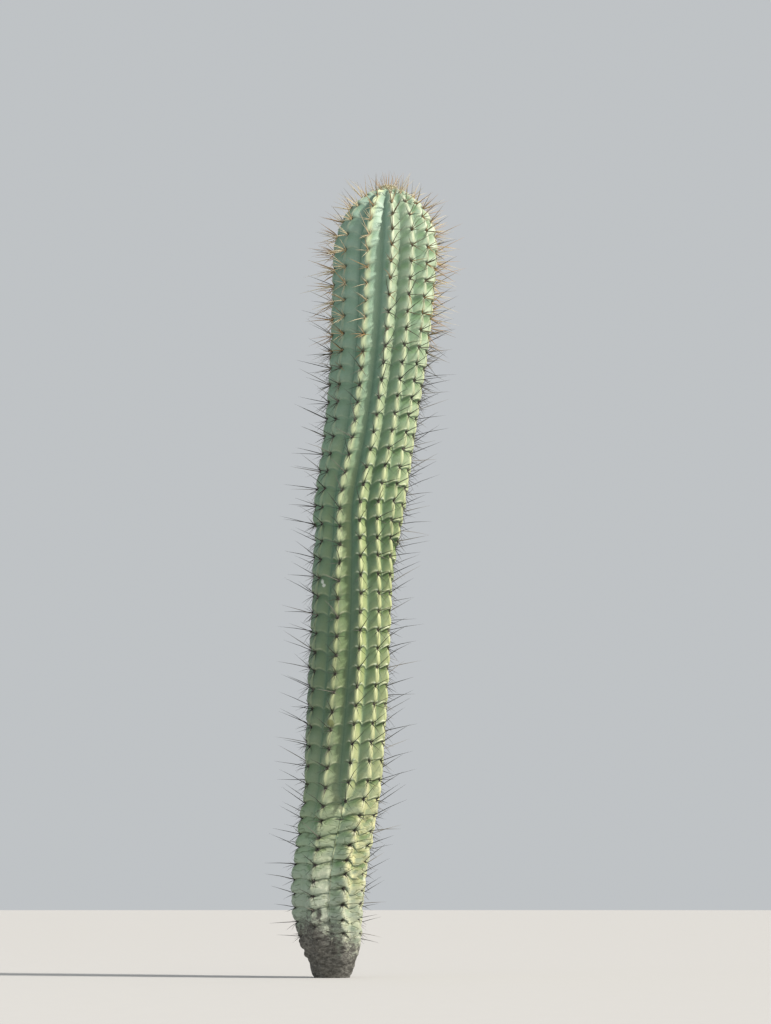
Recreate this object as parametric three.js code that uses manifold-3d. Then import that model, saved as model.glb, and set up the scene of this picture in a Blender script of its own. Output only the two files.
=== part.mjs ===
// A cardon cactus: one leaning column of low ribs on a narrow corky foot. Every rib carries a scalloped
// crest with its areoles and spines, and young wool and spines close the crown.
// Millimetres, +Z up. The origin is the centre of the flat cut at ground level; -Y is the front and +X the
// right of the view. An azimuth is 0 at the front and grows towards the right.

import * as THREE from "three";
import { mergeVertices } from "three/addons/utils/BufferGeometryUtils.js";
import Module from "manifold-3d";

const wasm = await Module();
wasm.setup();

// Outline of the column
const TIP_HEIGHT = 1262;
const DOME_HEIGHT = 112;
const FOOT_RADIUS = 28;
const FOOT_HEIGHT = 110;
const DOME_FOOT = TIP_HEIGHT - DOME_HEIGHT;
const APEX_HEIGHT = TIP_HEIGHT - 2.3;

// The column's lean, uneven growth and twist: the centre line's x, the radius over the rib crests and the
// guide rib's azimuth in degrees at some heights, joined smoothly
const STATIONS = [
  { height: 0, x: 0, radius: 59, turn: -25.5 },
  { height: 50, x: -1, radius: 58, turn: -25.5 },
  { height: 100, x: -6, radius: 58, turn: -25.5 },
  { height: 157, x: -3.5, radius: 61, turn: -25.5 },
  { height: 213, x: 4.5, radius: 62.5, turn: -25.5 },
  { height: 300, x: 15.5, radius: 63.5, turn: -24.5 },
  { height: 477, x: 25, radius: 65.5, turn: -19 },
  { height: 600, x: 30.5, radius: 65, turn: -20 },
  { height: 670, x: 35, radius: 68, turn: -21 },
  { height: 740, x: 42, radius: 73.5, turn: -25 },
  { height: 864, x: 59, radius: 74.5, turn: -20 },
  { height: 998, x: 74, radius: 79.5, turn: -19 },
  { height: DOME_FOOT, x: 83.5, radius: 84.5, turn: -19.5 },
  { height: TIP_HEIGHT, x: 87, radius: 84.5, turn: -19.5 },
];
const SHOULDER_RADIUS = STATIONS[STATIONS.length - 1].radius;

// Ribs, from the left edge of the front round to the back: the share of the circle that a grown rib takes,
// the height where it starts, and how far its areoles stand above the common level, in areole spacings
const RIBS = [
  { share: 1.1, start: 690, lift: 0.05 },
  { share: 1.2, start: 0, lift: -0.1 },
  { share: 1.15, start: 0, lift: -0.3 },
  { share: 0.86, start: 262, lift: 0 },
  { share: 0.94, start: 0, lift: 0.1 },
  { share: 0.88, start: 0, lift: 0.15 },
  { share: 0.95, start: 665, lift: 0.05 },
  { share: 1.08, start: 0, lift: -0.2 },
  { share: 1.08, start: 235, lift: 0.1 },
  { share: 1.08, start: 0, lift: 0.3 },
  { share: 1.08, start: 300, lift: 0 },
  { share: 1.08, start: 640, lift: -0.25 },
  { share: 1.08, start: 0, lift: 0.2 },
];
const GUIDE_RIB = 2;
const MAKE_ROOM_BELOW = 90;
const MAKE_ROOM_ABOVE = 60;
const RISE_BELOW = 15;
const RISE_ABOVE = 35;
const LEAST_OPEN = 0.05;
const RIB_DEPTH_SHARE = 0.17;
const FLUTE_AT_FOOT = 0.25;
const FLUTE_FADE_HEIGHT = 90;

// Areole spacing along a rib
const OLD_SPACING = 23;
const STEM_SPACING = 30;
const YOUNG_SPACING = 27;
const TIP_SPACING = 11;
const OLD_STEM_TOP = 240;
const NEW_STEM_START = 310;
const TIP_ZONE_RADIUS = 52;
const LIFT_FADE = 3;

// Crest strips, areoles and spines
const CREST_SEAT_HALF = 5.6;
const CREST_HALF = 4.6;
const CREST_INSET = 4.7;
const LEAST_SEAT_RADIUS_SHARE = 0.4;
const CREST_HEIGHT_AT_AREOLE = 2.4;
const CREST_HEIGHT_AT_LIP = 5;
const LIP_PLACE = 0.3;
const CREST_SHARE_OF_RIB = 0.22;
const CREST_FADE = 60;
const CREST_START = 46;
const CREST_END_RADIUS = 20;
const CLEARANCE = 0.5;
const HUB_RADIUS = 1.5;
const MOST_HUB_SHARE = 0.45;
const FULL_SWING_RADIUS = 60;
const LONG_SPINE = { length: [42, 60], rise: [2, 38], swing: [6, 16], use: 1 };
const SHORT_SPINE = { length: [18, 28], rise: [-42, -18], swing: [10, 28], use: 5 };
const YOUNG_SPINE_LENGTH = 0.6;
const OLD_SPINE_LENGTH = 0.62;

// Crown
const CROWN_RADIUS = 15.5;
const CROWN_RIM_RADIUS = 12.4;
const CROWN_RIM_HEIGHT = 3.6;
const CROWN_WOOL_HEIGHT = 6;
const CROWN_SEGMENTS = 13;
const CROWN_SPINES = 16;
const CROWN_SPINE_REACH = [0.4, 0.63, 0.81, 0.95];
const CROWN_SPINE_LENGTH = [20, 33];
const CROWN_SPINE_SPREAD = 42;
const CROWN_SPINE_ROOT_RADIUS = 9;
const CROWN_SPINE_ROOT_HEIGHT = 1.5;
const CROWN_SPINE_RADIUS = 1.2;
const CROWN_SEED = 20;
const SPINE_SIDES = 3;

const TAU = Math.PI * 2;
const radians = THREE.MathUtils.degToRad;
const lerp = THREE.MathUtils.lerp;
const smooth = (value, from, to) => THREE.MathUtils.smoothstep(value, from, to);

// A repeatable number from 0 to 1 for a rib, an areole and a use
function seeded(rib, areole, use) {
  const wave = Math.sin(rib * 127.1 + areole * 311.7 + use * 74.7) * 43758.5453;
  return wave - Math.floor(wave);
}

// A station's value at a height, by cubic pieces through the stations
function stationValue(key, height) {
  const last = STATIONS.length - 1;
  const above = STATIONS.findIndex((station, i) => i > 0 && height <= station.height);
  const k = above < 0 ? last - 1 : above - 1;
  const slope = (i) => {
    const a = STATIONS[Math.max(0, i - 1)];
    const b = STATIONS[Math.min(last, i + 1)];
    return (b[key] - a[key]) / (b.height - a.height);
  };
  const span = STATIONS[k + 1].height - STATIONS[k].height;
  const t = (height - STATIONS[k].height) / span;
  return (
    (2 * t ** 3 - 3 * t ** 2 + 1) * STATIONS[k][key] +
    (t ** 3 - 2 * t ** 2 + t) * span * slope(k) +
    (3 * t ** 2 - 2 * t ** 3) * STATIONS[k + 1][key] +
    (t ** 3 - t ** 2) * span * slope(k + 1)
  );
}

const leanAt = (height) => stationValue("x", height);

// The outline's radius over the rib crests at a height below the dome, drawn in to the narrow foot
function stemRadius(height) {
  const foot = Math.sin((Math.min(1, height / FOOT_HEIGHT) * Math.PI) / 2);
  return lerp(FOOT_RADIUS, stationValue("radius", height), foot);
}

function areoleSpacing(height, radius) {
  const stem = lerp(OLD_SPACING, STEM_SPACING, smooth(height, OLD_STEM_TOP, NEW_STEM_START));
  const young = lerp(stem, YOUNG_SPACING, smooth(height, OLD_STEM_TOP, DOME_FOOT));
  const tip = height > DOME_FOOT ? 1 - smooth(radius, 0, TIP_ZONE_RADIUS) : 0;
  return lerp(young, TIP_SPACING, tip);
}

// The outline from the ground to the apex, with the count of areole spacings up to each place
const OUTLINE = (() => {
  const places = [];
  const step = 2;
  for (let height = 0; height < DOME_FOOT; height += step) places.push([stemRadius(height), height]);
  const domeSteps = 90;
  for (let i = 0; i <= domeSteps; i++) {
    const turn = (i / domeSteps) * (Math.PI / 2);
    places.push([SHOULDER_RADIUS * Math.cos(turn), DOME_FOOT + DOME_HEIGHT * Math.sin(turn)]);
  }
  let count = 0;
  return places.map(([radius, height], i) => {
    if (i > 0) {
      const [lastRadius, lastHeight] = places[i - 1];
      const length = Math.hypot(radius - lastRadius, height - lastHeight);
      count += length / areoleSpacing(height, radius);
    }
    return { radius, height, count };
  });
})();
const TOP_COUNT = OUTLINE[OUTLINE.length - 1].count;

// The outline's radius, height and outward normal at a count of areole spacings above the ground
function outlineAt(count) {
  const wanted = Math.min(Math.max(count, 0), TOP_COUNT);
  let low = 0;
  let high = OUTLINE.length - 1;
  while (high - low > 1) {
    const middle = (low + high) >> 1;
    if (OUTLINE[middle].count <= wanted) low = middle;
    else high = middle;
  }
  const a = OUTLINE[low];
  const b = OUTLINE[high];
  const t = (wanted - a.count) / (b.count - a.count);
  const run = Math.hypot(b.radius - a.radius, b.height - a.height);
  return {
    radius: lerp(a.radius, b.radius, t),
    height: lerp(a.height, b.height, t),
    out: (b.height - a.height) / run,
    up: (a.radius - b.radius) / run,
  };
}

function countAtHeight(height) {
  return OUTLINE.find((place) => place.height >= height).count;
}

// How far a rib has taken its room on the circle, and how far it has risen, at a height
const roomOf = (rib, height) =>
  rib.start ? smooth(height, rib.start - MAKE_ROOM_BELOW, rib.start + MAKE_ROOM_ABOVE) : 1;
const riseOf = (rib, height) =>
  rib.start ? smooth(height, rib.start - RISE_BELOW, rib.start + RISE_ABOVE) : 1;

// Azimuths at a height: each rib's crest, and the valley on each rib's right
function ribsAt(height) {
  const shares = RIBS.map((rib) => rib.share * Math.max(LEAST_OPEN, roomOf(rib, height)));
  const rises = RIBS.map((rib) => Math.max(LEAST_OPEN, riseOf(rib, height)));
  const unit = TAU / shares.reduce((sum, share) => sum + share, 0);
  const edges = [0];
  shares.forEach((share, i) => edges.push(edges[i] + share * unit));
  const crests = shares.map((share, i) => edges[i] + (share * unit) / 2);
  const turn = radians(stationValue("turn", height)) - crests[GUIDE_RIB];
  const valleys = crests.map((crest, i) => {
    const next = (i + 1) % RIBS.length;
    const nextCrest = next ? crests[next] : crests[0] + TAU;
    const towardsNext = lerp(nextCrest, edges[i + 1], rises[next]);
    return lerp(crest, towardsNext, rises[i]) + turn;
  });
  return {
    crests: crests.map((crest) => crest + turn),
    valleys,
    rises,
    shares: shares.map((share) => share * unit),
  };
}

const fluteDepth = (radius, height) =>
  radius * RIB_DEPTH_SHARE * lerp(FLUTE_AT_FOOT, 1, smooth(height, 0, FLUTE_FADE_HEIGHT));

// How much of its crest strip a rib has at a height, from 0 where it has none
function crestPresence(rib, height) {
  const start = Math.max(CREST_START, rib.start);
  return smooth(height, start - CREST_FADE / 2, start + CREST_FADE);
}

// Half the width of the flat that a crest strip is seated on
const seatHalf = (radius, share, rise) =>
  Math.min(CREST_SEAT_HALF, radius * share * CREST_SHARE_OF_RIB) * rise;

function place(radius, azimuth, height) {
  return new THREE.Vector3(
    leanAt(height) + radius * Math.sin(azimuth),
    -radius * Math.cos(azimuth),
    height,
  );
}

// The count of a rib's row, with its lift faded out at the ground and at the apex
function liftedCount(count, lift) {
  return count + lift * smooth(count, 0, LIFT_FADE) * smooth(TOP_COUNT - count, 0, LIFT_FADE);
}

// The middle of a rib's seat: its place on the trunk, the outward normal and the sideways direction
function seatAt(ribIndex, count) {
  const outline = outlineAt(count);
  const ribs = ribsAt(outline.height);
  const rib = RIBS[ribIndex];
  const azimuth = ribs.crests[ribIndex];
  const inset = CREST_INSET * crestPresence(rib, outline.height);
  const depth = fluteDepth(outline.radius, outline.height);
  const crestRadius = outline.radius - depth * (1 - ribs.rises[ribIndex]);
  const radius = Math.max(LEAST_SEAT_RADIUS_SHARE * outline.radius, crestRadius - inset * outline.out);
  const height = outline.height - inset * outline.up;
  return {
    half: seatHalf(outline.radius, ribs.shares[ribIndex], ribs.rises[ribIndex]),
    middle: place(radius, azimuth, height),
    normal: new THREE.Vector3(
      outline.out * Math.sin(azimuth),
      -outline.out * Math.cos(azimuth),
      outline.up,
    ),
    side: new THREE.Vector3(Math.cos(azimuth), Math.sin(azimuth), 0),
    outlineRadius: outline.radius,
    height: outline.height,
  };
}

function valleyAt(ribIndex, count) {
  const outline = outlineAt(count);
  const ribs = ribsAt(outline.height);
  const depth = fluteDepth(outline.radius, outline.height);
  return place(
    outline.radius - depth * outline.out,
    ribs.valleys[ribIndex],
    outline.height - depth * outline.up,
  );
}

// A closed geometry from rings of equal length, with a middle point that closes each end
function skin(rings, bottom, top) {
  const points = [...rings.flat(), bottom, top];
  const across = rings[0].length;
  const index = [];
  for (let row = 0; row + 1 < rings.length; row++) {
    for (let i = 0; i < across; i++) {
      const a = row * across + i;
      const b = row * across + ((i + 1) % across);
      index.push(a, b, b + across, a, b + across, a + across);
    }
  }
  const bottomIndex = points.length - 2;
  const topIndex = points.length - 1;
  const topRow = (rings.length - 1) * across;
  for (let i = 0; i < across; i++) {
    const next = (i + 1) % across;
    index.push(bottomIndex, next, i);
    index.push(topIndex, topRow + i, topRow + next);
  }
  const geometry = new THREE.BufferGeometry().setFromPoints(points);
  geometry.setIndex(index);
  return geometry;
}

// The trunk: two seat edges and a valley for each rib, in one ring at each areole spacing
function trunkGeometry() {
  const rings = [];
  const rows = Math.floor(TOP_COUNT);
  for (let row = 0; row < rows; row++) {
    const ring = [];
    RIBS.forEach((rib, i) => {
      const seat = seatAt(i, liftedCount(row, rib.lift));
      const nextLift = RIBS[(i + 1) % RIBS.length].lift;
      ring.push(seat.middle.clone().addScaledVector(seat.side, -seat.half));
      ring.push(seat.middle.clone().addScaledVector(seat.side, seat.half));
      ring.push(valleyAt(i, liftedCount(row, (rib.lift + nextLift) / 2)));
    });
    if (row === 0) ring.forEach((point) => point.setZ(0));
    rings.push(ring);
  }
  return skin(rings, place(0, 0, 0), place(0, 0, APEX_HEIGHT));
}

// A spine's direction: it leans from the areole's normal by a rise and a sideways swing, in degrees
function spineDirection(seat, rise, swing) {
  const upAlong = new THREE.Vector3().crossVectors(seat.normal, seat.side);
  return seat.normal
    .clone()
    .addScaledVector(upAlong, Math.tan(radians(rise)))
    .addScaledVector(seat.side, Math.tan(radians(swing)))
    .normalize();
}

// The tip of a spine. Neighbouring areoles swing their spines to opposite sides, so that none cross.
function spineTip(kind, seat, hub, ribIndex, areole) {
  const young = lerp(1, YOUNG_SPINE_LENGTH, smooth(seat.height, DOME_FOOT, TIP_HEIGHT));
  const old = lerp(OLD_SPINE_LENGTH, 1, smooth(seat.height, 0, NEW_STEM_START));
  const length = lerp(kind.length[0], kind.length[1], seeded(ribIndex, areole, kind.use)) * young * old;
  const rise = lerp(kind.rise[0], kind.rise[1], seeded(ribIndex, areole, kind.use + 1));
  const turned = areole % 2 ? 1 : -1;
  const narrow = Math.min(1, seat.outlineRadius / FULL_SWING_RADIUS);
  const swing = turned * narrow * lerp(kind.swing[0], kind.swing[1], seeded(ribIndex, areole, kind.use + 2));
  return hub.clone().addScaledVector(spineDirection(seat, rise, swing), length);
}

// The three corners of a crest strip across its seat: left foot, ridge and right foot
function crestCorners(seat, height) {
  const half = seat.half * (CREST_HALF / CREST_SEAT_HALF);
  const foot = seat.middle.clone().addScaledVector(seat.normal, CLEARANCE);
  return {
    left: foot.clone().addScaledVector(seat.side, -half),
    right: foot.clone().addScaledVector(seat.side, half),
    ridge: foot.clone().addScaledVector(seat.normal, height),
  };
}

// A hub corner: a short step from the ridge towards another corner of the strip
const stepTowards = (from, to) =>
  from.clone().lerp(to, Math.min(MOST_HUB_SHARE, HUB_RADIUS / from.distanceTo(to)));

// One rib's crest: a scalloped strip 0.5 mm clear of its seat that dips at every areole and swells to a lip
// above it. Each areole has four hub corners, and they carry a long spine above and a short one below.
function crestGeometry(rib, ribIndex) {
  const points = [];
  const index = [];
  const add = (point) => points.push(point) - 1;
  const lipRow = (areole, part, height) => {
    const corners = crestCorners(seatOnTrunk(rib, ribIndex, areole, part), height);
    return { corners, left: add(corners.left), ridge: add(corners.ridge), right: add(corners.right) };
  };

  const first = Math.ceil(countAtHeight(Math.max(CREST_START, rib.start)) - rib.lift);
  let below = lipRow(first - 1, 1 - LIP_PLACE, CREST_HEIGHT_AT_AREOLE);
  index.push(below.left, below.right, below.ridge);
  for (let areole = first; ; areole++) {
    const seat = seatAt(ribIndex, liftedCount(areole, rib.lift));
    if (seat.outlineRadius < CREST_END_RADIUS && seat.height > DOME_FOOT) break;
    const above = lipRow(areole, LIP_PLACE, CREST_HEIGHT_AT_LIP);
    const { left, right, ridge } = crestCorners(seat, CREST_HEIGHT_AT_AREOLE);
    const leftFoot = add(left);
    const rightFoot = add(right);
    const hubLeft = add(stepTowards(ridge, left));
    const hubRight = add(stepTowards(ridge, right));
    const hubUp = add(stepTowards(ridge, above.corners.ridge));
    const hubDown = add(stepTowards(ridge, below.corners.ridge));
    const longTip = add(spineTip(LONG_SPINE, seat, ridge, ribIndex, areole));
    const shortTip = add(spineTip(SHORT_SPINE, seat, ridge, ribIndex, areole));
    index.push(
      ...[below.left, below.ridge, hubDown, below.left, hubDown, hubLeft, below.left, hubLeft, leftFoot],
      ...[below.ridge, below.right, hubDown, below.right, hubRight, hubDown],
      ...[below.right, rightFoot, hubRight],
      ...[below.left, leftFoot, rightFoot, below.left, rightFoot, below.right],
      ...[hubLeft, hubRight, longTip, hubRight, hubUp, longTip, hubUp, hubLeft, longTip],
      ...[hubLeft, hubDown, shortTip, hubDown, hubRight, shortTip, hubRight, hubLeft, shortTip],
      ...[leftFoot, hubLeft, above.left, hubLeft, hubUp, above.left, hubUp, above.ridge, above.left],
      ...[hubRight, rightFoot, above.right, hubRight, above.right, hubUp, hubUp, above.right, above.ridge],
      ...[leftFoot, above.left, above.right, leftFoot, above.right, rightFoot],
    );
    below = above;
  }
  index.push(below.left, below.ridge, below.right);
  const geometry = new THREE.BufferGeometry().setFromPoints(points);
  geometry.setIndex(index);
  return geometry;
}

// A place on the straight stretch of a seat between two areoles, so that the strip follows the trunk's facets
function seatOnTrunk(rib, ribIndex, areole, part) {
  const a = seatAt(ribIndex, liftedCount(areole, rib.lift));
  const b = seatAt(ribIndex, liftedCount(areole + 1, rib.lift));
  return {
    half: lerp(a.half, b.half, part),
    middle: a.middle.clone().lerp(b.middle, part),
    normal: a.normal.clone().lerp(b.normal, part).normalize(),
    side: a.side.clone().lerp(b.side, part).normalize(),
  };
}

function toSolid(geometry) {
  const bare = geometry.clone();
  bare.deleteAttribute("normal");
  bare.deleteAttribute("uv");
  const merged = mergeVertices(bare, 1e-4);
  return new wasm.Manifold(
    new wasm.Mesh({
      numProp: 3,
      vertProperties: merged.attributes.position.array,
      triVerts: new Uint32Array(merged.index.array),
    }),
  );
}

function toGeometry(solid) {
  const mesh = solid.getMesh();
  const position = new Float32Array(mesh.numVert * 3);
  for (let i = 0; i < mesh.numVert; i++) {
    position.set(mesh.vertProperties.subarray(i * mesh.numProp, i * mesh.numProp + 3), i * 3);
  }
  return new THREE.BufferGeometry()
    .setAttribute("position", new THREE.BufferAttribute(position, 3))
    .setIndex(new THREE.BufferAttribute(mesh.triVerts, 1));
}

function spineSolid(root, direction, length) {
  const cone = new THREE.ConeGeometry(CROWN_SPINE_RADIUS, length, SPINE_SIDES);
  cone.translate(0, length / 2, 0);
  cone.applyQuaternion(new THREE.Quaternion().setFromUnitVectors(new THREE.Vector3(0, 1, 0), direction));
  cone.translate(root.x, root.y, root.z);
  return toSolid(cone);
}

// The crown: a low cushion of wool on the apex with a tuft of young spines that opens outwards
function crownGeometry() {
  const seat = APEX_HEIGHT + CLEARANCE;
  const wool = new THREE.LatheGeometry(
    [
      new THREE.Vector2(0, 0),
      new THREE.Vector2(CROWN_RADIUS, 0),
      new THREE.Vector2(CROWN_RIM_RADIUS, CROWN_RIM_HEIGHT),
      new THREE.Vector2(0, CROWN_WOOL_HEIGHT),
    ],
    CROWN_SEGMENTS,
  );
  wool.rotateX(Math.PI / 2);
  wool.translate(leanAt(seat), 0, seat);
  const spines = [];
  for (let i = 0; i < CROWN_SPINES; i++) {
    const azimuth = (i / CROWN_SPINES) * TAU + seeded(CROWN_SEED, i, 1);
    const reach = CROWN_SPINE_REACH[i % CROWN_SPINE_REACH.length];
    const spread = radians(CROWN_SPINE_SPREAD * reach);
    const direction = new THREE.Vector3(
      Math.sin(spread) * Math.sin(azimuth),
      -Math.sin(spread) * Math.cos(azimuth),
      Math.cos(spread),
    );
    const root = place(CROWN_SPINE_ROOT_RADIUS * reach, azimuth, seat + CROWN_SPINE_ROOT_HEIGHT);
    const length = lerp(CROWN_SPINE_LENGTH[0], CROWN_SPINE_LENGTH[1], seeded(CROWN_SEED, i, 2));
    spines.push(spineSolid(root, direction, length));
  }
  return toGeometry(wasm.Manifold.union([toSolid(wool), ...spines]));
}

const skinMaterial = new THREE.MeshStandardMaterial({ color: 0x7f9c62, roughness: 0.62, metalness: 0 });
const spineMaterial = new THREE.MeshStandardMaterial({ color: 0x8a6a43, roughness: 0.7, metalness: 0 });
const woolMaterial = new THREE.MeshStandardMaterial({ color: 0xcdb98c, roughness: 0.9, metalness: 0 });

function part(name, geometry, material) {
  const mesh = new THREE.Mesh(geometry, material);
  mesh.name = name;
  return mesh;
}

const cactus = new THREE.Group();
cactus.add(part("trunk", trunkGeometry(), skinMaterial));
RIBS.forEach((rib, i) => {
  const name = `rib_crest_${String(i + 1).padStart(2, "0")}`;
  cactus.add(part(name, crestGeometry(rib, i), spineMaterial));
});
cactus.add(part("crown_tuft", crownGeometry(), woolMaterial));

export default cactus;
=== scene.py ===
"""Looks of a young cardon cactus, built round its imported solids.

The stem, its areoles and its spines grow by the rule of the solids, written again here and carried on to
finer relief and more spines. Sizes are in millimetres and degrees, and the finished meshes in metres.
"""

import itertools
import logging
import math
from collections.abc import Callable
from dataclasses import dataclass, field
from enum import Enum, IntEnum
from typing import NamedTuple

import bmesh
import bpy
import numpy as np
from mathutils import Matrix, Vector


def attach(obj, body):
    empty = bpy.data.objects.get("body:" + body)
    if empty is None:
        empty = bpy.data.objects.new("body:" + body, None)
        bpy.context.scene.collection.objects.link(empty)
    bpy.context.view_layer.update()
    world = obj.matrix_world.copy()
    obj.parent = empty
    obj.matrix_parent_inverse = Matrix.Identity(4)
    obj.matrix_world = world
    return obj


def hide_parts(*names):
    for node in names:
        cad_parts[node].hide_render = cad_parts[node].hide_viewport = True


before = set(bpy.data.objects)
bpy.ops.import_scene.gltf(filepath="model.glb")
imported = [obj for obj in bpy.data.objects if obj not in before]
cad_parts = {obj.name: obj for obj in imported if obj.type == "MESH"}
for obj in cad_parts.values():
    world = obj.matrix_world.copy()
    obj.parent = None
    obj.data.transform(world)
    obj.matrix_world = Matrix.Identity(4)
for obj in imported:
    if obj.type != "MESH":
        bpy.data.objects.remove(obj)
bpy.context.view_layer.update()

MM = 0.001
TAU = 2 * math.pi
LOG = logging.getLogger("cactus")
Array = np.ndarray
Colour = tuple[float, float, float]
Span = tuple[float, float]
DRAW_WAVES = (127.1, 311.7, 74.7)
DRAW_SCALE = 43758.5453
NOISE_USE_WAVE = 19.19


class Use(IntEnum):
    """Numbers that set the repeatable draws and noises apart from one another."""

    CROWN_AZIMUTH = 1
    CROWN_LENGTH = 2
    WANDER = 11
    PAD_SIZE = 40
    PAD_AGE = 41
    BOW = 61
    WEATHERING = 62
    HAIR_RADIUS = 70
    HAIR_AZIMUTH = 71
    HAIR_STRAY_X = 72
    HAIR_STRAY_Y = 73
    HAIR_STRAY_Z = 74
    HAIR_LENGTH = 75
    SECOND_CREASE_PLACE = 81
    SECOND_CREASE_SLOPE = 82
    SECOND_CREASE = 83
    FOLD = 84


def smooth(value: Array | float, low: Array | float, high: Array | float) -> Array:
    """A soft step from 0 to 1.

    Args:
        value: The numbers to grade.
        low: Where the step starts.
        high: Where the step is done.

    Returns:
        The share of the step that is done, for each number.
    """
    share = np.clip((np.asarray(value, float) - low) / (high - low), 0, 1)
    return share * share * (3 - 2 * share)


def blend(start: Array | float, end: Array | float, share: Array | float) -> Array | float:
    """The value that lies a share of the way from start to end."""
    return start + (end - start) * share


def bell(distance: Array, width: float | Array) -> Array:
    """A bell curve that is 1 at no distance."""
    return np.exp(-((distance / width) ** 2))


def unit(vectors: Array) -> Array:
    """Vectors with their length set to 1."""
    return vectors / np.linalg.norm(vectors, axis=-1, keepdims=True)


def drawn(phase: Array) -> Array:
    """A number from 0 to 1 that looks random, for each phase of a wave."""
    wave = np.sin(phase) * DRAW_SCALE
    return wave - np.floor(wave)


def seeded(rib: Array | float, areole: Array | float, use: float) -> Array:
    """A repeatable number from 0 to 1 for a rib, an areole and a use, as in the solids."""
    first, second, third = DRAW_WAVES
    return drawn(np.asarray(rib) * first + np.asarray(areole) * second + use * third)


def soft_noise(points: Array, size: float | tuple[float, float, float], use: float) -> Array:
    """Smooth noise from -1 to 1 in space.

    Args:
        points: Places, as rows of three millimetres.
        size: The grain's size, alike on all sides or for each axis.
        use: A number that sets one noise apart from another.

    Returns:
        The noise at each place.
    """
    first, second, third = DRAW_WAVES
    cells = points / np.asarray(size, float)
    base = np.floor(cells)
    part = cells - base
    part = part * part * (3 - 2 * part)
    total = np.zeros(points.shape[:-1])
    for corner in itertools.product((0, 1), repeat=3):
        knot = base + corner
        phase = knot[..., 0] * first + knot[..., 1] * second + knot[..., 2] * third + use * NOISE_USE_WAVE
        total += np.prod(np.where(corner, part, 1 - part), axis=-1) * drawn(phase)
    return 2 * total - 1


def direction_to(azimuth: float, elevation: float) -> tuple[float, float, float]:
    """The direction from the cactus to an azimuth and an elevation, both in degrees."""
    level = math.cos(math.radians(elevation))
    turn = math.radians(azimuth)
    return level * math.sin(turn), -level * math.cos(turn), math.sin(math.radians(elevation))


class Bumps(NamedTuple):
    """Smooth bumps in space: their depth, their size and the noise's use."""

    depth: float
    size: float | tuple[float, float, float]
    use: int

    def at(self, points: Array) -> Array:
        """How high the bumps are at some places."""
        return self.depth * soft_noise(points, self.size, self.use)


class Station(NamedTuple):
    """The column at a height: its centre line's x, its radius over the crests and the guide rib's azimuth."""

    height: float
    x: float
    radius: float
    turn: float


class Rib(NamedTuple):
    """A grown rib's share of the circle, the height where it starts and its areoles' lift in spacings."""

    share: float
    start: float
    lift: float


class Outline(NamedTuple):
    """Places on the outline, with the radial and the upward part of their outward normals."""

    radius: Array
    height: Array
    out: Array
    up: Array

    def outward(self, azimuth: Array) -> Array:
        """The column's outward directions at these places."""
        return np.stack([self.out * np.sin(azimuth), -self.out * np.cos(azimuth), self.up], axis=-1)


class Flutes(NamedTuple):
    """Each rib's crest azimuth, the valley on its right, how far it has risen and its share of the circle."""

    crests: Array
    valleys: Array
    rises: Array
    shares: Array


class Areoles(NamedTuple):
    """Areoles of all ribs, one a row: rib, number, the solids' hub, and the frame that a spine leans in."""

    rib: Array
    number: Array
    hub: Array
    normal: Array
    side: Array
    along: Array
    radius: Array
    height: Array

    def draw(self, use: float) -> Array:
        """A repeatable number from 0 to 1 for each areole and a use."""
        return seeded(self.rib, self.number, use)


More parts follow.
